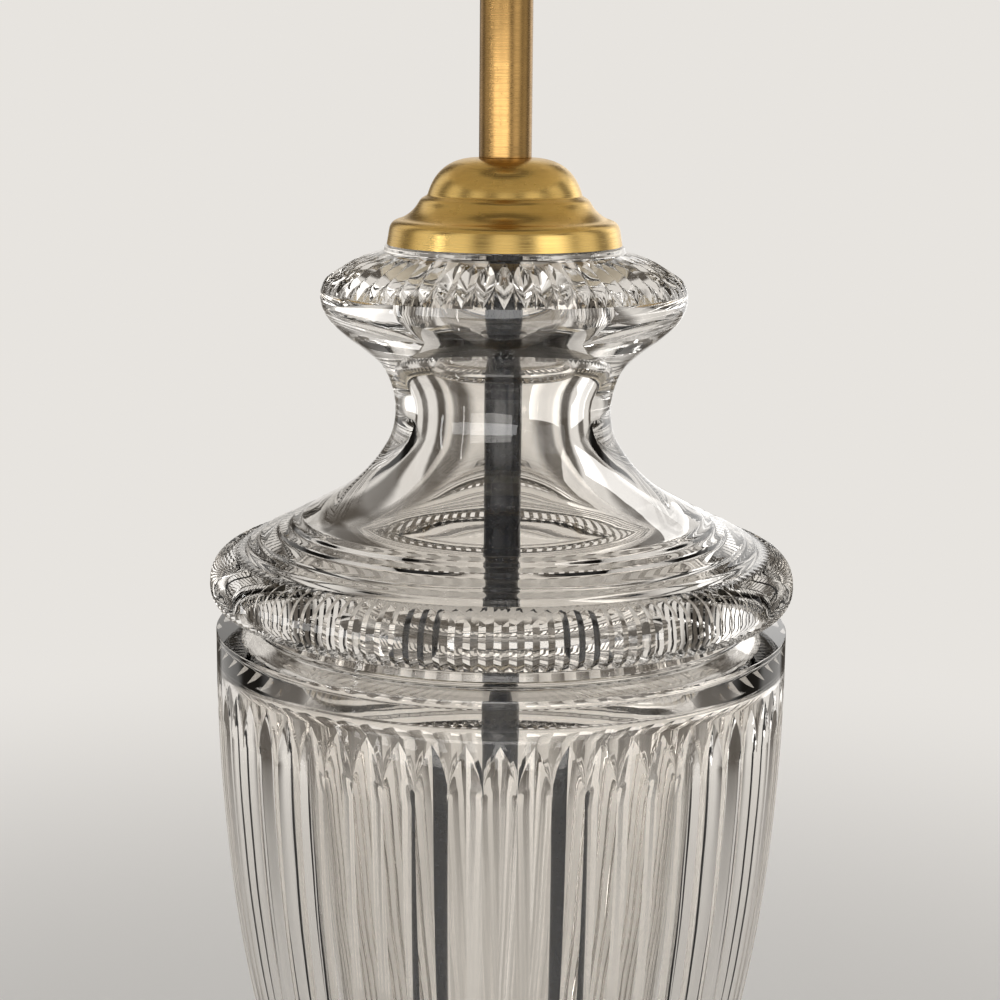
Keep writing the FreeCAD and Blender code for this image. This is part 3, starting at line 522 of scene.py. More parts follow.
def brushed(name, bright, dark, rough, anisotropic=0.5, line=0.00025, raw=False):
    """Metal brushed round the axis, toned in soft clouds, with lines in roughness and height.  With the last
    switch set, the faces that the attribute of the switch's name marks are rough, as spun metal is on its
    hidden side, and painted near black as shade."""
    material, tree, shader = finish(name, Metallic=1.0, Anisotropic=anisotropic)
    if tree:
        brush = placed(tree, round_brushing, Line=line)
        specks = placed(tree, dust, Amount=0.6)
        tone = calc(tree, "MULTIPLY", brush["Tone"], 0.45)
        lines = between(tree, brush["Height"], 0.25, 0.75, -0.10, 0.10)
        mixed = blended(tree, calc(tree, "MAXIMUM", calc(tree, "ADD", tone, lines), 0.0), bright, dark)
        roughness = calc(tree, "ADD", between(tree, brush["Height"], 0.2, 0.8, rough - 0.05, rough + 0.06),
                         calc(tree, "MULTIPLY", specks["Mask"], 0.25))
        # The marked faces get painted shade in their colour and the roughness of raw metal.
        if raw:
            hidden = put(tree, "ShaderNodeAttribute", {"attribute_name": "raw"}).outputs["Fac"]
            mixed = blended(tree, hidden, mixed, SHADED_RAW_METAL)
            roughness = calc(tree, "ADD", roughness, calc(tree, "MULTIPLY", hidden, 0.4))
        tree.links.new(mixed, shader.inputs["Base Color"])
        tree.links.new(roughness, shader.inputs["Roughness"])
        bumped(tree, shader, brush["Height"], 0.25, 0.00003)
    return material


def grained(name, colour_a, colour_b, rough, size=0.0006, depth=0.00004, **constants):
    """A moulded, cast or coated surface: two near colours in clouds, and an even grain."""
    material, tree, shader = finish(name, **constants)
    if tree:
        marks = placed(tree, grain, Size=size)
        specks = placed(tree, dust, Amount=0.5)
        tree.links.new(blended(tree, marks["Tone"], colour_a, colour_b), shader.inputs["Base Color"])
        roughness = calc(tree, "ADD", between(tree, marks["Height"], 0.3, 0.7, rough - 0.06, rough + 0.06),
                         calc(tree, "MULTIPLY", specks["Mask"], 0.3))
        tree.links.new(roughness, shader.inputs["Roughness"])
        bumped(tree, shader, marks["Height"], 0.4, depth)
    return material


def clear(name, tint, rough=0.0, ior=1.52, wisp=0.02):
    """Clear glass or clear rubber, with faint wipe marks in its roughness."""
    material, tree, shader = finish(name, Metallic=0.0, IOR=ior, Transmission_Weight=1.0)
    if tree:
        marks = placed(tree, grain, Size=0.004)
        tree.links.new(blended(tree, marks["Tone"], tint, toned(0.985, tint)), shader.inputs["Base Color"])
        wiped = between(tree, marks["Tone"], 0.55, 1.0, rough, rough + wisp)
        tree.links.new(wiped, shader.inputs["Roughness"])
    return material


def satin_brass(name="spun_satin_brass", raw=False):
    """Satin gold brass."""
    metal = bpy.context.scene.lamp_metal
    return brushed(name, tuple(metal.satin), tuple(metal.satin_dark), 0.24, 0.45, raw=raw)


def antique_brass():
    """Darker brushed brass."""
    brass = tuple(bpy.context.scene.lamp_metal.antique)
    return brushed("brushed_antique_brass", brass, toned(0.45, brass), 0.27, 0.5, 0.00030)


def plated_steel():
    """Zinc-plated steel."""
    steel = tuple(bpy.context.scene.lamp_metal.steel)
    return brushed("plated_steel", steel, toned(0.7, steel), 0.34, 0.0, 0.0004)


def cut_glass():
    """Polished, slightly smoky glass."""
    return clear("polished_glass", tuple(bpy.context.scene.lamp_glass.tint), 0.0, 1.52, 0.015)


# ---------------------------------------------------------------- glass bowl
# Millimetres: plain is the plain band under the rim, point the height of the flutes' points, lip the
# thickness of the inner flange round the mouth.  taper is the square's share in the taper.  inner_places are
# the shares of the height at which the inner wall is placed, inner_round its rounding there.
BOWL = dict(rim_r=100.3, height=250.5, foot_r=46.0, plain=14.7, point=16.7, wall=8.5, mouth_r=84.0, lip=5.0,
            floor=12.0, hole_r=7.5, taper=0.72, foot_edge=1.2, rim_edge=0.8, under_r=40.0,
            inner_places=(0.80, 0.65, 0.52, 0.42, 0.32, 0.22, 0.14), inner_round=12.0)


def bowl_radius(h):
    """Radius of the ridges: rim minus the taper, which grows with the square and the fourth power of the way
    down from the plain band."""
    below = 1.0 - np.clip(h / (BOWL["height"] - BOWL["plain"]), 0.0, 1.0)
    share = BOWL["taper"] * below ** 2 + (1 - BOWL["taper"]) * below ** 4
    return BOWL["rim_r"] - (BOWL["rim_r"] - BOWL["foot_r"]) * share


def flute_columns(flutes):
    """Angles that fall on every ridge and groove, four to each facet and closer towards the ridge, with each
    column's share of the way from groove (0) to ridge (1)."""
    facet = np.array([-1.0, -15 / 16, -3 / 4, -7 / 16, 0.0, 7 / 16, 3 / 4, 15 / 16])
    pitch = 2 * math.pi / flutes
    angle = (np.arange(flutes)[:, None] * pitch + 0.5 * pitch * facet).ravel()
    return angle, np.tile(np.abs(facet), flutes)


class LAMP_OT_glass_bowl(bpy.types.Operator):
    """Thick glass bowl with pointed V flutes under a plain rim"""
    bl_idname = "lamp.glass_bowl"
    bl_label = "Glass bowl"

    def execute(self, context):
        # The outside is the smaller of the plain bowl and a V flute.  In plan a facet is the straight line
        # from groove to ridge.  Above the height where the flutes meet, a flute rises out by the depth times
        # the square of the way up its point, and ends where it meets the plain bowl: the way up is the root
        # of (how far the facet lies inside the bowl, over the depth).  The rows there follow that edge.
        settings = context.scene.lamp_glass
        depth = settings.bowl_depth / MM
        angle, share = flute_columns(settings.bowl_flutes)
        half = math.pi / settings.bowl_flutes
        top = BOWL["height"]
        meet = top - BOWL["plain"] - BOWL["point"]

        def facet(radius, groove):
            off = half * share
            return groove * radius * math.sin(half) / (groove * np.sin(off) + radius * np.sin(half - off))

        edge = BOWL["foot_edge"]
        h = np.concatenate([[0.0, 0.15, 0.5, edge], np.linspace(edge, meet, 42)[1:]])
        radius = bowl_radius(h)[:, None]
        tuck = edge - np.sqrt(np.maximum(edge ** 2 - np.maximum(edge - h, 0.0) ** 2, 0.0))
        fluted_r = facet(radius, radius - depth * radius / BOWL["rim_r"]) - tuck[:, None]
        fluted_h = np.broadcast_to(h[:, None], fluted_r.shape)

        rim = BOWL["rim_r"]
        fall = rim - facet(rim, rim - depth)
        reach = np.sqrt(np.clip(fall / depth, 0.0, 1.0))
        t = np.linspace(0, 1, 10)[1:, None]
        point_h = meet + BOWL["point"] * reach * t
        point_r = np.minimum(facet(rim, rim - depth) + depth * (reach * t) ** 2, bowl_radius(point_h))
        plain_top = top - BOWL["rim_edge"]
        t = np.linspace(0, 1, 6)[1:, None]
        plain_h = point_h[-1] + (plain_top - point_h[-1]) * t
        plain_r = bowl_radius(plain_h)

        inner = [(rim - BOWL["wall"], top - BOWL["lip"] - (rim - BOWL["wall"] - BOWL["mouth_r"]), 0, 3.0)]
        for part in BOWL["inner_places"]:
            inner.append((float(bowl_radius(part * top)) - BOWL["wall"], part * top, 0, BOWL["inner_round"]))
        floor_r = float(bowl_radius(BOWL["floor"])) - BOWL["wall"]
        rest = outline([
            (rim, plain_top, 0, 0), (rim, top, 0, BOWL["rim_edge"]), (BOWL["mouth_r"], top, 0, 1.0),
            (BOWL["mouth_r"], top - BOWL["lip"], 0, 1.5), *inner, (floor_r, BOWL["floor"], 0, 6.0),
            (BOWL["hole_r"], BOWL["floor"], 0, 0.4), (BOWL["hole_r"], 0, 0, 0.4), (BOWL["under_r"], 0, 0, 0)],
            closed=False)[1:]
        columns = len(angle)
        r = np.concatenate([fluted_r, point_r, plain_r, np.repeat(rest[:, :1], columns, axis=1)])
        z = np.concatenate([fluted_h, point_h, plain_h, np.repeat(rest[:, 1:], columns, axis=1)])
        angle = angle + half                        # half a flute round, for a groove in front
        points = placed_round(r, angle, z + base_z("glass_bowl"))
        dress(skin("bowl_skin", points, crease=14.0), "root", cut_glass(), "cut_glass", "glass_bowl")
        return {"FINISHED"}


# ---------------------------------------------------------------- glass lid
# Millimetres, with heights above the lid's own base: (r, z) places of the outside from the steps to the knop,
# of the knop's top slope, and of the hollow from the rod's hole down to the mouth.
SHOULDER = ((69.3, 39.2), (61.8, 43.1), (53.8, 48.0), (47.0, 54.2), (42.2, 60.4), (38.9, 66.5), (37.5, 74.2),
            (38.6, 83.0), (42.0, 90.4), (48.6, 96.6), (56.0, 102.3), (61.2, 107.8), (63.2, 113.0),
            (63.1, 116.6))
KNOP_SLOPE = ((63.1, 116.6), (61.4, 120.2), (57.4, 123.0), (51.8, 126.4), (44.4, 129.3))
HOLLOW = ((9.0, 124.0), (12.5, 121.0), (20.0, 117.5), (25.6, 110.5), (25.8, 102.5), (22.6, 92.0),
          (20.2, 82.0), (20.0, 72.0), (22.0, 60.0), (28.5, 48.5), (39.5, 38.0), (55.0, 28.0), (70.5, 18.5),
          (78.5, 10.5), (81.0, 3.0))
# The bead: its middle, how far it swells out, up and down, and the power of its curve.  The ring steps: their
# radii, the first one's height, each one's drop and its share of the tread's width, and their blur.
LID = dict(foot_r=87.0, mouth_r=81.0, bead_r=90.0, bead_z=15.2, swell=12.2, up=11.4, down=9.2, power=2.35,
           step_r=(69.3, 73.7, 78.3, 84.8, 89.0), step_z=39.2, drop=1.1, tread_fall=0.30, blur=0.42,
           fade_low=-48, fade_low_over=12, fade_high=84, fade_high_over=16, leaf_r=58)


class LAMP_OT_glass_lid(bpy.types.Operator):
    """Glass lid with fluted bead, ring steps, waist and leaf-cut knop"""
    bl_idname = "lamp.glass_lid"
    bl_label = "Glass lid"

    def execute(self, context):
        # Rows go up the outside and down the inside; columns go round.  On the bead, the surface loses a V
        # whose depth fades out at both ends.  On the knop, a leaf is a V cut along the slope, as deep as
        # 4 x (1 - x) at share x of the slope less the share of the way from crease to ridge.  Its edge lies
        # where the two are equal, and the rows there follow it.  Columns shift on the knop so that they fall
        # on its creases.
        settings = context.scene.lamp_glass
        flutes, leaves = settings.bead_flutes, settings.leaves
        columns = 4 * flutes
        even = turns(columns)
        v_share = np.abs(((np.arange(columns) % 4) - 2) / 2)          # 1 on a ridge, 0 in a groove

        marks = np.round(np.arange(2 * leaves + 1) * columns / (2 * leaves)).astype(int)
        cell = np.searchsorted(marks, np.arange(columns), side="right") - 1
        inside = (np.arange(columns) - marks[cell]) / (marks[cell + 1] - marks[cell])
        from_ridge = cell % 2 == 0
        leaf_share = 1 - np.where(from_ridge, inside, 1 - inside) ** 2     # 1 on a ridge, 0 on a crease
        creased = (cell + np.where(from_ridge, 1 - leaf_share, leaf_share)) * math.pi / leaves

        rows_r, rows_z, rows_a = [], [], []

        def add(r, z, shift=0.0):
            # Takes rows of radius and height; shift is a row's share of the way from even to creased angles.
            r, z = np.atleast_2d(r), np.atleast_2d(z)
            count = max(r.shape[0], z.shape[0])
            rows_r.append(np.broadcast_to(r, (count, columns)))
            rows_z.append(np.broadcast_to(z, (count, columns)))
            shift = np.broadcast_to(np.asarray(shift, float).reshape(-1, 1), (count, 1))
            rows_a.append(even * (1 - shift) + creased * shift)

        def add_rows(rows, shift=0.0):
            add(np.repeat(rows[:, :1], columns, 1), np.repeat(rows[:, 1:], columns, 1), shift)

        foot_r, mouth_r = LID["foot_r"], LID["mouth_r"]
        add_rows(opened((foot_r, 0.3, 0, 0), (foot_r, 5.9, 0, 1.2), (LID["bead_r"] + 0.5, 6.0, 0, 0)))

        phi = np.radians(np.linspace(-86, 90, 30))
        power = 2 / LID["power"]
        bead_r = LID["bead_r"] + LID["swell"] * np.abs(np.cos(phi)) ** power
        tall = np.where(phi > 0, LID["up"], LID["down"])
        bead_z = LID["bead_z"] + np.sign(phi) * tall * np.abs(np.sin(phi)) ** power
        from_low = (np.degrees(phi) - LID["fade_low"]) / LID["fade_low_over"]
        from_high = (LID["fade_high"] - np.degrees(phi)) / LID["fade_high_over"]
        fade = np.clip(from_low, 0, 1) * np.clip(from_high, 0, 1)
        fade = fade * (2 - fade)
        cut = settings.bead_depth / MM * fade[:, None] * (1 - v_share)
        inward, downward = np.cos(phi)[:, None] ** 0.5, 0.6 * cut * np.sin(phi)[:, None]
        add(bead_r[:, None] - cut * inward, bead_z[:, None] - downward)

        steps = []
        height = LID["step_z"]
        before = LID["step_r"][0]
        for radius in LID["step_r"]:
            if radius != before:
                height -= LID["drop"] + LID["tread_fall"] * (radius - before)
            steps += [(radius - 0.2, height + 0.15), (radius + 0.4, height - 1.25)]
            before = radius
        terraces = np.array([(LID["bead_r"], 26.6), *steps[::-1], (67.0, 40.2)])
        add_rows(softened(terraces, LID["blur"])[3:-24:5])      # every fifth row, without the ends' overlap

        shoulder = flowing(SHOULDER, 38)[1:]
        add_rows(shoulder, np.clip((shoulder[:, 1] - 70) / 40, 0, 1))

        slope = flowing(KNOP_SLOPE, 200)
        along = np.linspace(0, 1, 200)
        direction = np.gradient(slope, axis=0)
        direction /= np.linalg.norm(direction, axis=1)[:, None]
        reach = np.sqrt(np.maximum(1 - leaf_share, 0.0016))     # never quite nothing, so rows stay apart
        start, end = 0.5 * (1 - reach), 0.5 * (1 + reach)
        x = np.concatenate([
            np.linspace(0, 1, 4)[1:, None] * start,
            start + np.linspace(0, 1, 13)[1:, None] * (end - start),
            end + np.linspace(0, 1, 4)[1:, None] * (1 - end),
        ])
        leaf = np.maximum(4 * x * (1 - x) - leaf_share, 0)
        at_r = np.interp(x, along, slope[:, 0])
        at_z = np.interp(x, along, slope[:, 1])
        dip = settings.leaf_depth / MM * leaf * at_r / LID["leaf_r"]
        climb, out = np.interp(x, along, direction[:, 1]), np.interp(x, along, direction[:, 0])
        add(at_r - dip * climb, at_z + dip * out, 1.0)

        (knop_r, knop_z), (hole_r, _) = KNOP_SLOPE[-1], HOLLOW[0]
        rest = opened((knop_r, knop_z, 0, 0), (41.4, 130.0, 0, 0.8), (41.2, 131.7, 0, 0.4),
                      (hole_r, 131.7, 0, 0.5))[1:]
        add_rows(rest, np.linspace(1, 0, len(rest)))
        add_rows(flowing(HOLLOW, 35))
        add_rows(opened((mouth_r, 3.0, 0, 0), (mouth_r, 0.0, 0, 0.5), (foot_r, 0.0, 0, 0.3))[1:])

        r, z, angle = (np.concatenate(parts) for parts in (rows_r, rows_z, rows_a))
        points = placed_round(r, angle, z + base_z("glass_lid"))
        dress(skin("lid_skin", points, crease=15.0), "root", cut_glass(), "cut_glass", "glass_lid")
        return {"FINISHED"}


# ---------------------------------------------------------------- sleeve and seals
SEAL_BORES = {"bowl_gasket": 7.6, "lid_gasket": 84.05, "cap_gasket": 31.2}
ROD_HOLE_R = 5.2


class LAMP_OT_sleeve_and_seals(bpy.types.Operator):
    """Black sleeve over the rod and the clear rings between glass and brass"""
    bl_idname = "lamp.sleeve_and_seals"
    bl_label = "Sleeve and seals"

    def execute(self, context):
        dark = tuple(context.scene.lamp_metal.sleeve)
        black = grained("sleeve_black", dark, toned(1.6, dark), 0.22, 0.0012, 0.00001)
        rows = ring_rows(ROD_HOLE_R, 6.5, *heights("rod_sleeve"), 0.2, 0.3, 0.3, 0.2)
        dress(turned("sleeve_skin", rows, 96), "root", black, "black_sleeve", "rod_sleeve")
        seal = clear("seal_silicone", (0.62, 0.60, 0.56), 0.12, 1.42, 0.1)
        for node, inner in SEAL_BORES.items():
            z0, z1 = heights(node)
            rows = ring_rows(inner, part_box(node)[1].x / MM - 0.5, z0, z1, 0.3 * (z1 - z0))
            dress(turned(node + "_skin", rows, 128), "root", seal, "clear_seal", node)
        return {"FINISHED"}


# ---------------------------------------------------------------- brass
class LAMP_OT_cap(bpy.types.Operator):
    """Spun brass cap with flaring band, rolled shoulder, ring step and dome"""
    bl_idname = "lamp.cap"
    bl_label = "Cap"

    def execute(self, context):
        z = base_z("vase_cap")
        outside = outline([
            (40.4, z, 0, 0), (39.3, z + 6.6, 0.35, 1.5), (35.7, z + 8.6, -0.9, 0.9), (28.9, z + 15.3, 0, 1.1),
            (26.5, z + 16.6, 3.6, 0.5), (11.0, z + 29.3, 0, 1.2), (ROD_HOLE_R, z + 29.3, 0, 0)],
            closed=False, bend=18)
        section = walled(outside, 1.2)
        columns = 224
        cap = turned("cap_skin", section, columns, crease=40.0)
        # 1 on the inner wall's rows: there the brass is rough and gets painted shade, a near-black colour.
        raw = np.repeat((np.arange(len(section)) >= len(outside)).astype(np.float32), columns)
        cap.data.attributes.new("raw", "FLOAT", "POINT").data.foreach_set("value", raw)
        dress(cap, "root", satin_brass("spun_cap_brass", True), "satin_brass", "vase_cap")
        return {"FINISHED"}


class LAMP_OT_neck(bpy.types.Operator):
    """Brushed brass neck tube and its bush"""
    bl_idname = "lamp.neck"
    bl_label = "Neck"

    def execute(self, context):
        z0, z1 = heights("neck_tube")
        rows = ring_rows(7.8, 9.0, z0, z1, 0.2)
        dress(turned("neck_skin", rows, 128), "root", antique_brass(), "antique_brass", "neck_tube")
        plug = base_z("neck_bush")
        rows = outline([
            (ROD_HOLE_R, plug, 0, 0.2), (7.7, plug, 0, 0.4), (7.7, z1, 0, 0.1), (10.5, z1, 0, 0.5),
            (10.5, z1 + 2.5, 0, 0.8), (ROD_HOLE_R, z1 + 2.5, 0, 0.2)])
        dress(turned("bush_skin", rows, 128), "root", antique_brass(), "antique_brass", "neck_bush")
        return {"FINISHED"}


class LAMP_OT_foot(bpy.types.Operator):
    """Spun brass foot with its grommet, felt and the turned cup"""
    bl_idname = "lamp.foot"
    bl_label = "Foot and cup"

    def execute(self, context):
        dress(copied("foot_skin", "foot_shell"), "root", satin_brass(), "satin_brass", "foot_shell")
        rubber = grained("grommet_rubber", (0.028, 0.028, 0.028), (0.05, 0.05, 0.048), 0.62, 0.0005, 0.00003)
        dress(copied("grommet_skin", "inlet_grommet"), "root", rubber, "rubber", "inlet_grommet")
        z = base_z("bowl_cup")
        rows = outline([
            (ROD_HOLE_R, z, 0, 0), (22.0, z, 0, 0.3), (22.0, z + 2.0, 3.0, 0.6), (50.5, z + 6.6, 0, 0.8),
            (50.5, z + 14.0, 0, 0.6), (48.9, z + 14.0, 0, 0.6), (48.9, z + 9.0, 0, 0.3),
            (ROD_HOLE_R, z + 9.0, 0, 0)])
        dress(turned("cup_skin", rows, 224, crease=40.0), "root", satin_brass(), "satin_brass", "bowl_cup")

        felt, tree, shader = finish("pressed_felt", Roughness=0.95, Sheen_Weight=0.4, Sheen_Roughness=0.6)
        if tree:
            spot = tree.nodes.new("ShaderNodeTexCoord").outputs["Object"]
            fibre = put(tree, "ShaderNodeTexNoise", Vector=spot, Scale=1400.0, Detail=6.0, Roughness=0.75)
            shade = between(tree, fibre.outputs[0], 0.3, 0.7)
            green = blended(tree, shade, (0.02, 0.03, 0.022), (0.05, 0.066, 0.05))
            tree.links.new(green, shader.inputs["Base Color"])
            bumped(tree, shader, fibre.outputs[0], 0.8, 0.0004)
        rim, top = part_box("felt_pad")[1].x / MM, heights("felt_pad")[1]
        rows = ring_rows(4.0, rim, 0.0, top, 0.3, 0.5, 0.7, 0.3)
        dress(turned("felt_skin", rows, 192), "root", felt, "felt", "felt_pad")
        return {"FINISHED"}


# ---------------------------------------------------------------- lampholder
SHELL_R = 19.6                                      # outer radius of the lampholder's threaded shell


def thread(depth, pitch, low, high, outer):
    """Rounded thread cut into a wall of radius outer between two heights.  The radius loses the depth times
    (half less half the cosine of the turns in the height over the pitch, less the angle), fading out over one
    pitch at both ends."""
    def warp(angle, r, z):
        wall = np.abs(r - outer) < 0.05
        fade = np.clip((z - low) / pitch, 0, 1) * np.clip((high - z) / pitch, 0, 1)
        wave = 0.5 * np.cos(2 * math.pi * z / pitch - angle) - 0.5
        return r + np.where(wall, depth * fade * wave, 0.0)
    return warp


class LAMP_OT_lampholder(bpy.types.Operator):
    """Brass lampholder with its threaded shell and push-through switch bar"""
    bl_idname = "lamp.lampholder"
    bl_label = "Lampholder"

    def execute(self, context):
        dress(copied("holder_cap_skin", "holder_cap"), "root", antique_brass(), "antique_brass", "holder_cap")
        z0, z1 = heights("holder_shell")
        wall = [(SHELL_R, z) for z in np.linspace(z0 + 0.4, z1 - 1.6, 150)]
        bore, lip_r, top_r, wall_top = 17.9, 15.2, 18.6, z1 - 1.2
        rows = np.concatenate([
            opened((bore, z0, 0, 0), (SHELL_R, z0, 0, 0.3), (SHELL_R, z0 + 0.4, 0, 0)), wall[1:],
            opened((SHELL_R, z1 - 1.6, 0, 0), (SHELL_R, wall_top, 0, 0.3), (top_r, z1, 0, 0.5),
                   (lip_r, z1, 0, 0.4), (lip_r, wall_top, 0, 0.4), (bore, wall_top, 0, 0.2),
                   (bore, z0, 0, 0))[1:-1]])
        shell = turned("holder_shell_skin", rows, 96, warp=thread(0.7, 2.4, z0 + 1.0, z1 - 2.0, SHELL_R))
        dress(shell, "root", antique_brass(), "antique_brass", "holder_shell")

        low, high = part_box("switch_bar")
        start, end, z = low.x / MM, high.x / MM, 0.5 * (low.z + high.z) / MM
        button, rod, grip = 3.8, 2.6, 5.0           # radii of the buttons and the bar, length of a button
        rows = outline([
            (0.0, start, 0, 0), (button, start, 0, 1.1), (button, start + grip, 0, 0.5),
            (rod, start + grip, 0, 0.3), (rod, end - grip, 0, 0.3), (button, end - grip, 0, 0.5),
            (button, end, 0, 1.1), (0.0, end, 0, 0)], closed=False)[1:-1]
        angle = turns(48)
        points = np.stack([np.repeat(rows[:, 1:], 48, 1), rows[:, :1] * np.cos(angle),
                           z + rows[:, :1] * np.sin(angle)], axis=-1) * MM
        middle = np.array([[start * MM, 0.0, z * MM], [end * MM, 0.0, z * MM]])[:, None]
        ends = middle + 0.01 * (points[[0, -1]] - middle)      # the flat ends close to a tiny circle
        bar = skin("switch_bar_skin", np.concatenate([ends[:1], points, ends[1:]]), wrap=False)
        dark = grained("switch_moulding", (0.055, 0.048, 0.042), (0.075, 0.066, 0.058), 0.34, 0.0005, 0.00002)
        dress(bar, "switch", dark, "antique_brass", "switch_bar")
        return {"FINISHED"}


class LAMP_OT_shade_rings(bpy.types.Operator):
    """Two ribbed rings that clamp the shade"""
    bl_idname = "lamp.shade_rings"
    bl_label = "Shade rings"

    def execute(self, context):
        flange, rib_depth, rib_count = 27.0, 0.35, 48

        def ribs(angle, r, z):
            # Round the flange, the radius loses half the depth and half the depth times the ribs' cosine.
            edge = np.abs(r - flange) < 0.05
            return r - np.where(edge, rib_depth * (0.5 + 0.5 * np.cos(rib_count * angle)), 0.0)

        ivory = grained("ring_ivory", (0.74, 0.68, 0.55), (0.80, 0.74, 0.62), 0.42, 0.0007, 0.00003)
        for node, body, away in (("shade_ring_lower", "root", -1), ("shade_ring_upper", "clamp_ring", 1)):
            face = heights(node)[1 if away < 0 else 0]
            bore = 19.64 if away < 0 else 19.7
            hub = bore + 3.0
            section = [(bore, face, 0, 0.3), (flange, face, 0, 0.4), (flange, face + away * 2.0, 0, 0.6),
                       (hub, face + away * 3.5, 0, 0.8), (hub, face + away * 6.0, 0, 0.5),
                       (bore, face + away * 6.0, 0, 0.3)]
            rows = outline(section if away > 0 else section[::-1])
            dress(turned(node + "_skin", rows, 384, warp=ribs), body, ivory, "ring_plastic", node)
        return {"FINISHED"}


# ---------------------------------------------------------------- bulb
class LAMP_OT_bulb(bpy.types.Operator):
    """Clear bulb with screw cap and bright filament sticks"""
    bl_idname = "lamp.bulb"
    bl_label = "Bulb"

    def execute(self, context):
        z0, z1 = heights("bulb_glass")
        ball, neck, thick = 30.0, 12.4, 0.8
        widest = z1 - ball
        side = opened((neck, z0, 0, 0), (neck, z0 + 8.0, 4.4, 6.0), (ball, widest, 0, 0), bend=30)
        arc = np.radians(np.linspace(0, 88, 26))[1:]
        crown = np.stack([ball * np.cos(arc), widest + ball * np.sin(arc)], axis=1)
        section = walled(np.concatenate([side, crown]), thick)
        rows = np.roll(section, len(section) // 2, axis=0)      # down the inside, then up the outside
        glass = clear("bulb_glass_clear", (0.985, 0.98, 0.97), 0.0, 1.50, 0.01)
        bulb = turned("bulb_skin", rows, 96, wrap=False, poles=(z1 - thick, z1))
        dress(bulb, "bulb", glass, "bulb_clear", "bulb_glass")

        z = base_z("bulb_contact")
        screw, screw_in, tip = 13.15, 12.65, 7.5
        wall = [(screw, h) for h in np.linspace(z + 5.4, z + 24.0, 110)]
        rows = np.concatenate([
            opened((tip, z + 2.0, 0, 0), (screw, z + 5.0, 0, 0.8), (screw, z + 5.4, 0, 0)), wall[1:],
            opened((screw, z + 24.0, 0, 0), (screw, z + 25.0, 0, 0.15), (screw_in, z + 25.0, 0, 0.1),
                   (screw_in, z + 6.5, 0, 0.5), (tip, z + 3.5, 0, 0.3), (tip, z + 2.0, 0, 0))[1:-1]])
        nickel = grained("nickel_plate", (0.66, 0.65, 0.62), (0.74, 0.72, 0.68), 0.22, 0.0008, 0.00002,
                         Metallic=1.0)
        cap = turned("bulb_cap_skin", rows, 96, warp=thread(0.45, 3.6, z + 6.5, z + 21.0, screw))
        dress(cap, "bulb", nickel, "nickel", "bulb_cap")

        stick, tree, shader = finish("filament_yellow", Roughness=0.5, Subsurface_Weight=0.1)
        if tree:
            marks = placed(tree, grain, Size=0.0012)
            tree.links.new(blended(tree, marks["Tone"], (0.86, 0.52, 0.10), (0.95, 0.66, 0.20)),
                           shader.inputs["Base Color"])
            bumped(tree, shader, marks["Height"], 0.3, 0.0001)
        solder = grained("solder_tip", (0.50, 0.50, 0.49), (0.60, 0.60, 0.58), 0.38, 0.002, 0.0001,
                         Metallic=1.0)
        vitrite = grained("cap_vitrite", (0.012, 0.012, 0.016), (0.02, 0.02, 0.026), 0.12, 0.002, 0.00002)
        for node, material in (("bulb_filaments", stick), ("bulb_stem", glass), ("bulb_contact", solder),
                               ("bulb_insulator", vitrite)):
            shade_node(node, material)
        return {"FINISHED"}


# ---------------------------------------------------------------- shade
SHADE_TOP_R = 150.0
WIRE_R = 1.6
WIRE_SKIN_R = 1.58                                  # a hair less, so that the skin stays in the CAD box


def shade_edge():
    """Lower radius and height, then upper radius and height, of the shade's outer face, in millimetres."""
    low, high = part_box("shade_cover")
    return high.x / MM, low.z / MM, SHADE_TOP_R, high.z / MM


class LAMP_OT_shade_frame(bpy.types.Operator):
    """Coated wire frame: fitter ring, three arms and two hoops"""
    bl_idname = "lamp.shade_frame"
    bl_label = "Shade frame"

    def execute(self, context):
        wire = tuple(context.scene.lamp_shade.wire)
        coat = grained("wire_coat", wire, toned(0.93, wire), 0.36, 0.0015, 0.00004)
        turn = turns(240)
        hoops = {}
        for node in ("shade_bottom_hoop", "shade_top_hoop"):
            low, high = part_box(node)
            radius, z = hoops[node] = high.x / MM - WIRE_R, 0.5 * (low.z + high.z) / MM
            path = np.stack([radius * np.cos(turn), radius * np.sin(turn), np.full(240, z)], axis=1)
            dress(swept(node + "_skin", path, WIRE_SKIN_R, 12, True), "shade", coat, "shade_wire", node)
        z0, z1 = heights("shade_fitter")
        rows = ring_rows(20.1, 31.5, z0, z1, 0.3)
        dress(turned("shade_fitter_skin", rows, 128), "shade", coat, "shade_wire", "shade_fitter")
        hoop_r, hoop_z = hoops["shade_bottom_hoop"]
        arm_z = z1 - WIRE_R
        line = opened((29.5, arm_z, 0, 0), (41.0, arm_z, 0, 5.0), (hoop_r - 1.1, hoop_z, 0, 0))
        for k in range(3):
            angle = math.radians(90 + 120 * k)
            path = np.stack([line[:, 0] * math.cos(angle), line[:, 0] * math.sin(angle), line[:, 1]], axis=1)
            arm = swept("shade_arm_%d" % (k + 1), path, WIRE_SKIN_R, 12)
            dress(arm, "shade", coat, "shade_wire", "shade_arms")
        return {"FINISHED"}


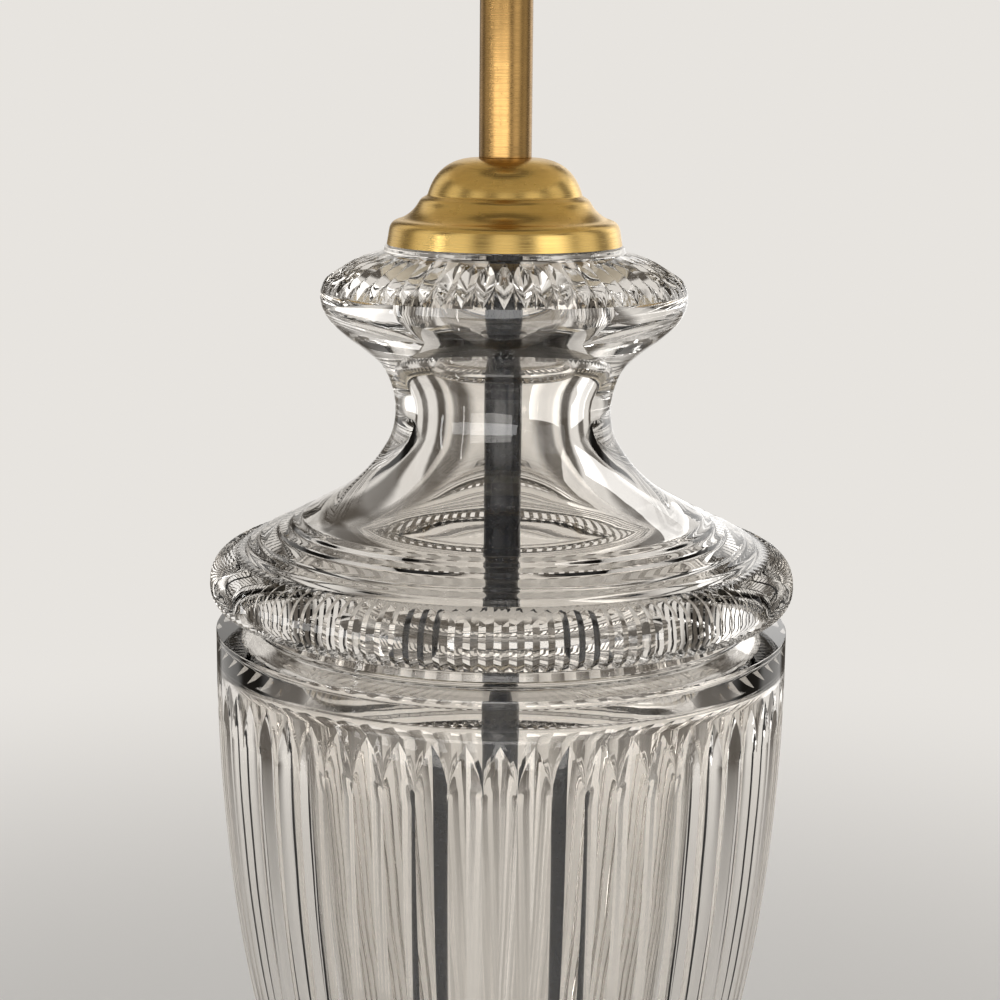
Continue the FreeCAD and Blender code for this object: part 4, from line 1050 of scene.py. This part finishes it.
def linen(name, tone):
    """Slub linen: plain weave in height, painted shade between the yarns, and thick and thin yarns."""
    settings = bpy.context.scene.lamp_shade
    base = toned(tone, settings.linen)
    material, tree, shader = finish(name, Roughness=0.88, Sheen_Weight=0.25, Sheen_Roughness=0.5)
    if tree:
        cloth = placed(tree, weave, Pitch=settings.yarn)
        marks = placed(tree, grain, Size=0.0003)
        yarn = blended(tree, cloth["Slub"], toned(0.78, base), tuple(min(1.0, c) for c in toned(1.25, base)))
        # Painted shade: the colour falls to about a third of the linen's where the yarns lie low.
        deep = blended(tree, cloth["Tone"], toned(0.35, base), yarn)
        tree.links.new(blended(tree, calc(tree, "MULTIPLY", marks["Tone"], 0.12), deep, (0.5, 0.44, 0.36)),
                       shader.inputs["Base Color"])
        bumped(tree, shader, cloth["Height"], 0.8, 0.00025)
    return material


class LAMP_OT_shade_skins(bpy.types.Operator):
    """Linen cover, cream lining and tape bands at top and bottom"""
    bl_idname = "lamp.shade_skins"
    bl_label = "Shade skins"

    def execute(self, context):
        bottom_r, bottom_z, top_r, top_z = shade_edge()
        slope = (bottom_r - top_r) / (top_z - bottom_z)

        def layer(name, inside, thick, low, high, edge, steps, ripple=0.0):
            # A cone between two heights, so far inside the cover's face and so thick, its edges drawn in a
            # little.  Between the hoops the cloth sinks by one plus three sines of the turn, times a half
            # sine of the height.
            rise = np.linspace(low, high, steps)
            wave = ripple * np.sin((rise - bottom_z) / (top_z - bottom_z) * math.pi)
            face = bottom_r - slope * (rise - bottom_z)
            outer = np.stack([face - inside, rise], axis=1)
            inner = np.stack([face - inside - thick, rise], axis=1)[::-1]
            outer[0, 0] -= edge
            outer[-1, 0] -= edge
            rows = np.concatenate([outer, inner])
            angle = turns(360)
            sway = np.sin(3 * angle + 0.7) + 0.6 * np.sin(7 * angle + 2.1) + 0.35 * np.sin(17 * angle)
            r = rows[:, :1] - 0.06 * (1 + sway / 1.95) * np.concatenate([wave, wave[::-1]])[:, None]
            return skin(name, placed_round(r, angle, rows[:, 1:]), crease=50.0)

        cover = layer("shade_cover_skin", 0.0, 0.92, bottom_z, top_z, 0.1, 40, 3.0)
        dress(cover, "shade", linen("shade_linen", 1.0), "shade_fabric", "shade_cover")
        fold = 9.0
        for node, low, high in (("shade_tape_top", top_z - fold, top_z),
                                ("shade_tape_bottom", bottom_z, bottom_z + fold)):
            tape = layer(node + "_skin", -0.6, 0.58, low, high, 0.25, 6)
            dress(tape, "shade", linen("shade_tape_linen", 0.88), "shade_tape", node)
        lining = tuple(context.scene.lamp_shade.lining)
        paper = grained("lining_laminate", lining, toned(0.96, lining), 0.48, 0.003, 0.00006)
        inside = layer("shade_lining_skin", 1.02, 0.55, bottom_z + 0.1, top_z - 0.1, 0.05, 24)
        dress(inside, "shade", paper, "shade_lining", "shade_lining")
        return {"FINISHED"}


# ---------------------------------------------------------------- CAD nodes that stay
def shade_node(node, material):
    """A finish on a CAD node that stays as it is."""
    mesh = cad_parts[node].data
    mesh.materials.clear()
    mesh.materials.append(material)


class LAMP_OT_hidden_parts(bpy.types.Operator):
    """Finishes for the weight, rod, nuts and the lampholder's inner pieces"""
    bl_idname = "lamp.hidden_parts"
    bl_label = "Hidden parts"

    def execute(self, context):
        casting = grained("cast_black", (0.035, 0.035, 0.035), (0.06, 0.058, 0.055), 0.72, 0.0012, 0.0003)
        moulding = grained("brown_moulding", (0.045, 0.038, 0.032), (0.065, 0.055, 0.047), 0.45, 0.0006,
                           0.00003)
        contact = brushed("bright_contact_brass", (0.78, 0.60, 0.26), (0.62, 0.44, 0.16), 0.22, 0.0, 0.0004)
        for node in ("base_spacer", "rod_nut", "rod_washer", "threaded_rod", "cap_locknut",
                     "holder_grub_screw"):
            shade_node(node, plated_steel())
        shade_node("base_weight", casting)
        for node in ("switch_block", "holder_insulator", "holder_liner"):
            shade_node(node, moulding)
        for node in ("terminal_screws", "centre_contact", "screw_shell"):
            shade_node(node, contact)
        return {"FINISHED"}


# ---------------------------------------------------------------- stage
FLOOR_R = 40.0
SCREENS = 8.0
# A light's name, its place, the height it looks at, and its size, in metres.
LIGHTS = (
    ("key", (-0.60, -1.65, 0.22), 0.66, (2.4, 0.55)),
    ("fill", (1.30, -1.10, 0.70), 0.42, (1.1, 1.2)),
    ("back", (0.80, 1.30, 0.55), 0.40, (1.2, 0.9)),
    ("strip", (-1.15, -0.50, 0.45), 0.45, (0.05, 0.9)),
)
CAMERA = dict(place=(-0.0008, -0.750, 0.5038), down=11.24, roll=0.5, lens=78.4, sensor=36.0, near=0.01)


def light_path(tree):
    """Camera ray, and 1 for a ray that glass or metal has turned."""
    path = tree.nodes.new("ShaderNodeLightPath").outputs
    turned_ray = calc(tree, "MAXIMUM", path["Is Glossy Ray"], path["Is Transmission Ray"])
    return path["Is Camera Ray"], turned_ray


def around(tree, vector, backdrop, gap):
    """Colour of the surroundings in a direction: pale screens round the table, one every eighth of a turn,
    with darker gaps between them and a dim ceiling."""
    x, y, z = put(tree, "ShaderNodeSeparateXYZ", Vector=vector).outputs
    turn = calc(tree, "ARCTAN2", x, y)
    wave = calc(tree, "COSINE", calc(tree, "MULTIPLY", turn, SCREENS))
    pale = between(tree, wave, -0.75, 0.25)
    climb = calc(tree, "ARCTAN2", z, length_of(tree, x, y))
    pale = calc(tree, "MULTIPLY", pale, between(tree, climb, 0.55, 1.05, 1.0, 0.0))
    return blended(tree, pale, gap, backdrop)


class LAMP_OT_stage(bpy.types.Operator):
    """Pale floor, soft surroundings, four lights and the camera"""
    bl_idname = "lamp.stage"
    bl_label = "Stage"

    def execute(self, context):
        scene = context.scene
        scene.view_settings.view_transform = "Standard"
        stage = scene.lamp_stage
        pale, gap = tuple(stage.backdrop), tuple(stage.gap)

        world = bpy.data.worlds.new("surroundings")
        scene.world = world
        world.use_nodes = True
        tree = world.node_tree
        tree.nodes.clear()
        straight, bent = light_path(tree)
        spot = tree.nodes.new("ShaderNodeTexCoord").outputs["Generated"]
        level = toned(stage.ambient, (1.0, 1.0, 1.0))
        seen = blended(tree, bent, level, around(tree, spot, pale, gap))
        back = put(tree, "ShaderNodeBackground", Color=blended(tree, straight, seen, pale))
        put(tree, "ShaderNodeOutputWorld", Surface=back.outputs[0])

        mesh = bpy.data.meshes.new("floor")
        angle = turns(96)
        rim = np.stack([FLOOR_R * np.cos(angle), FLOOR_R * np.sin(angle), np.zeros(96)], axis=1)
        mesh.from_pydata(rim.tolist(), [], [list(range(96))])
        floor = bpy.data.objects.new("floor", mesh)
        scene.collection.objects.link(floor)
        material = bpy.data.materials.new("floor_pale")
        material.use_nodes = True
        tree = material.node_tree
        shader = tree.nodes["Principled BSDF"]
        shader.inputs["Base Color"].default_value = (*pale, 1.0)
        shader.inputs["Roughness"].default_value = 0.9
        straight, bent = light_path(tree)
        spot = tree.nodes.new("ShaderNodeTexCoord").outputs["Object"]
        x, y, _ = put(tree, "ShaderNodeSeparateXYZ", Vector=spot).outputs
        far = between(tree, length_of(tree, x, y), 0.35, 1.1)
        level = blended(tree, bent, pale, around(tree, spot, pale, gap))
        glow = put(tree, "ShaderNodeEmission", Color=level)
        sees = calc(tree, "MAXIMUM", bent, straight)
        mixed = put(tree, "ShaderNodeMixShader", n0=calc(tree, "MULTIPLY", far, sees), n1=shader.outputs[0],
                    n2=glow.outputs[0])
        tree.links.new(mixed.outputs[0], tree.nodes["Material Output"].inputs["Surface"])
        mesh.materials.append(material)

        for name, place, aim, size in LIGHTS:
            target = Vector((0.0, 0.0, aim))
            light = bpy.data.lights.new(name, "AREA")
            light.shape = "RECTANGLE"
            light.size, light.size_y = size
            light.energy = getattr(stage, name + "_power")
            lamp = bpy.data.objects.new(name, light)
            lamp.location = place
            lamp.rotation_euler = (target - Vector(place)).to_track_quat("-Z", "Y").to_euler()
            scene.collection.objects.link(lamp)

        lens = bpy.data.cameras.new("camera")
        lens.lens = CAMERA["lens"]
        lens.sensor_width = CAMERA["sensor"]
        lens.clip_start = CAMERA["near"]
        camera = bpy.data.objects.new("camera", lens)
        camera.location = CAMERA["place"]
        tilt = Matrix.Rotation(math.radians(90.0 - CAMERA["down"]), 3, "X")
        camera.rotation_euler = (tilt @ Matrix.Rotation(math.radians(CAMERA["roll"]), 3, "Z")).to_euler()
        scene.collection.objects.link(camera)
        scene.camera = camera
        return {"FINISHED"}


# ---------------------------------------------------------------- panel and start
SETTINGS = {
    "lamp_glass": LampGlassSettings,
    "lamp_metal": LampMetalSettings,
    "lamp_shade": LampShadeSettings,
    "lamp_stage": LampStageSettings,
}
OPERATORS = (
    LAMP_OT_stage, LAMP_OT_foot, LAMP_OT_glass_bowl, LAMP_OT_glass_lid, LAMP_OT_sleeve_and_seals,
    LAMP_OT_cap, LAMP_OT_neck, LAMP_OT_lampholder, LAMP_OT_shade_rings, LAMP_OT_bulb, LAMP_OT_shade_frame,
    LAMP_OT_shade_skins, LAMP_OT_hidden_parts,
)


class LAMP_PT_panel(bpy.types.Panel):
    """Settings and steps of the lamp"""
    bl_label = "Lamp"
    bl_idname = "LAMP_PT_panel"
    bl_space_type = "VIEW_3D"
    bl_region_type = "UI"
    bl_category = "Lamp"

    def draw(self, context):
        for name, kind in SETTINGS.items():
            box = self.layout.box()
            for key in kind.__annotations__:
                box.prop(getattr(context.scene, name), key)
        for operator in OPERATORS:
            self.layout.operator(operator.bl_idname)


def register():
    """Registers the settings, the operators and the panel."""
    for kind in (*SETTINGS.values(), *OPERATORS, LAMP_PT_panel):
        bpy.utils.register_class(kind)
    for name, kind in SETTINGS.items():
        setattr(bpy.types.Scene, name, PointerProperty(type=kind))


def unregister():
    """Takes them away again."""
    for name in SETTINGS:
        delattr(bpy.types.Scene, name)
    for kind in (LAMP_PT_panel, *reversed(OPERATORS), *SETTINGS.values()):
        bpy.utils.unregister_class(kind)


def main():
    """Makes every piece in turn."""
    register()
    for operator in OPERATORS:
        space, step = operator.bl_idname.split(".")
        getattr(getattr(bpy.ops, space), step)()


if __name__ == "__main__":
    main()
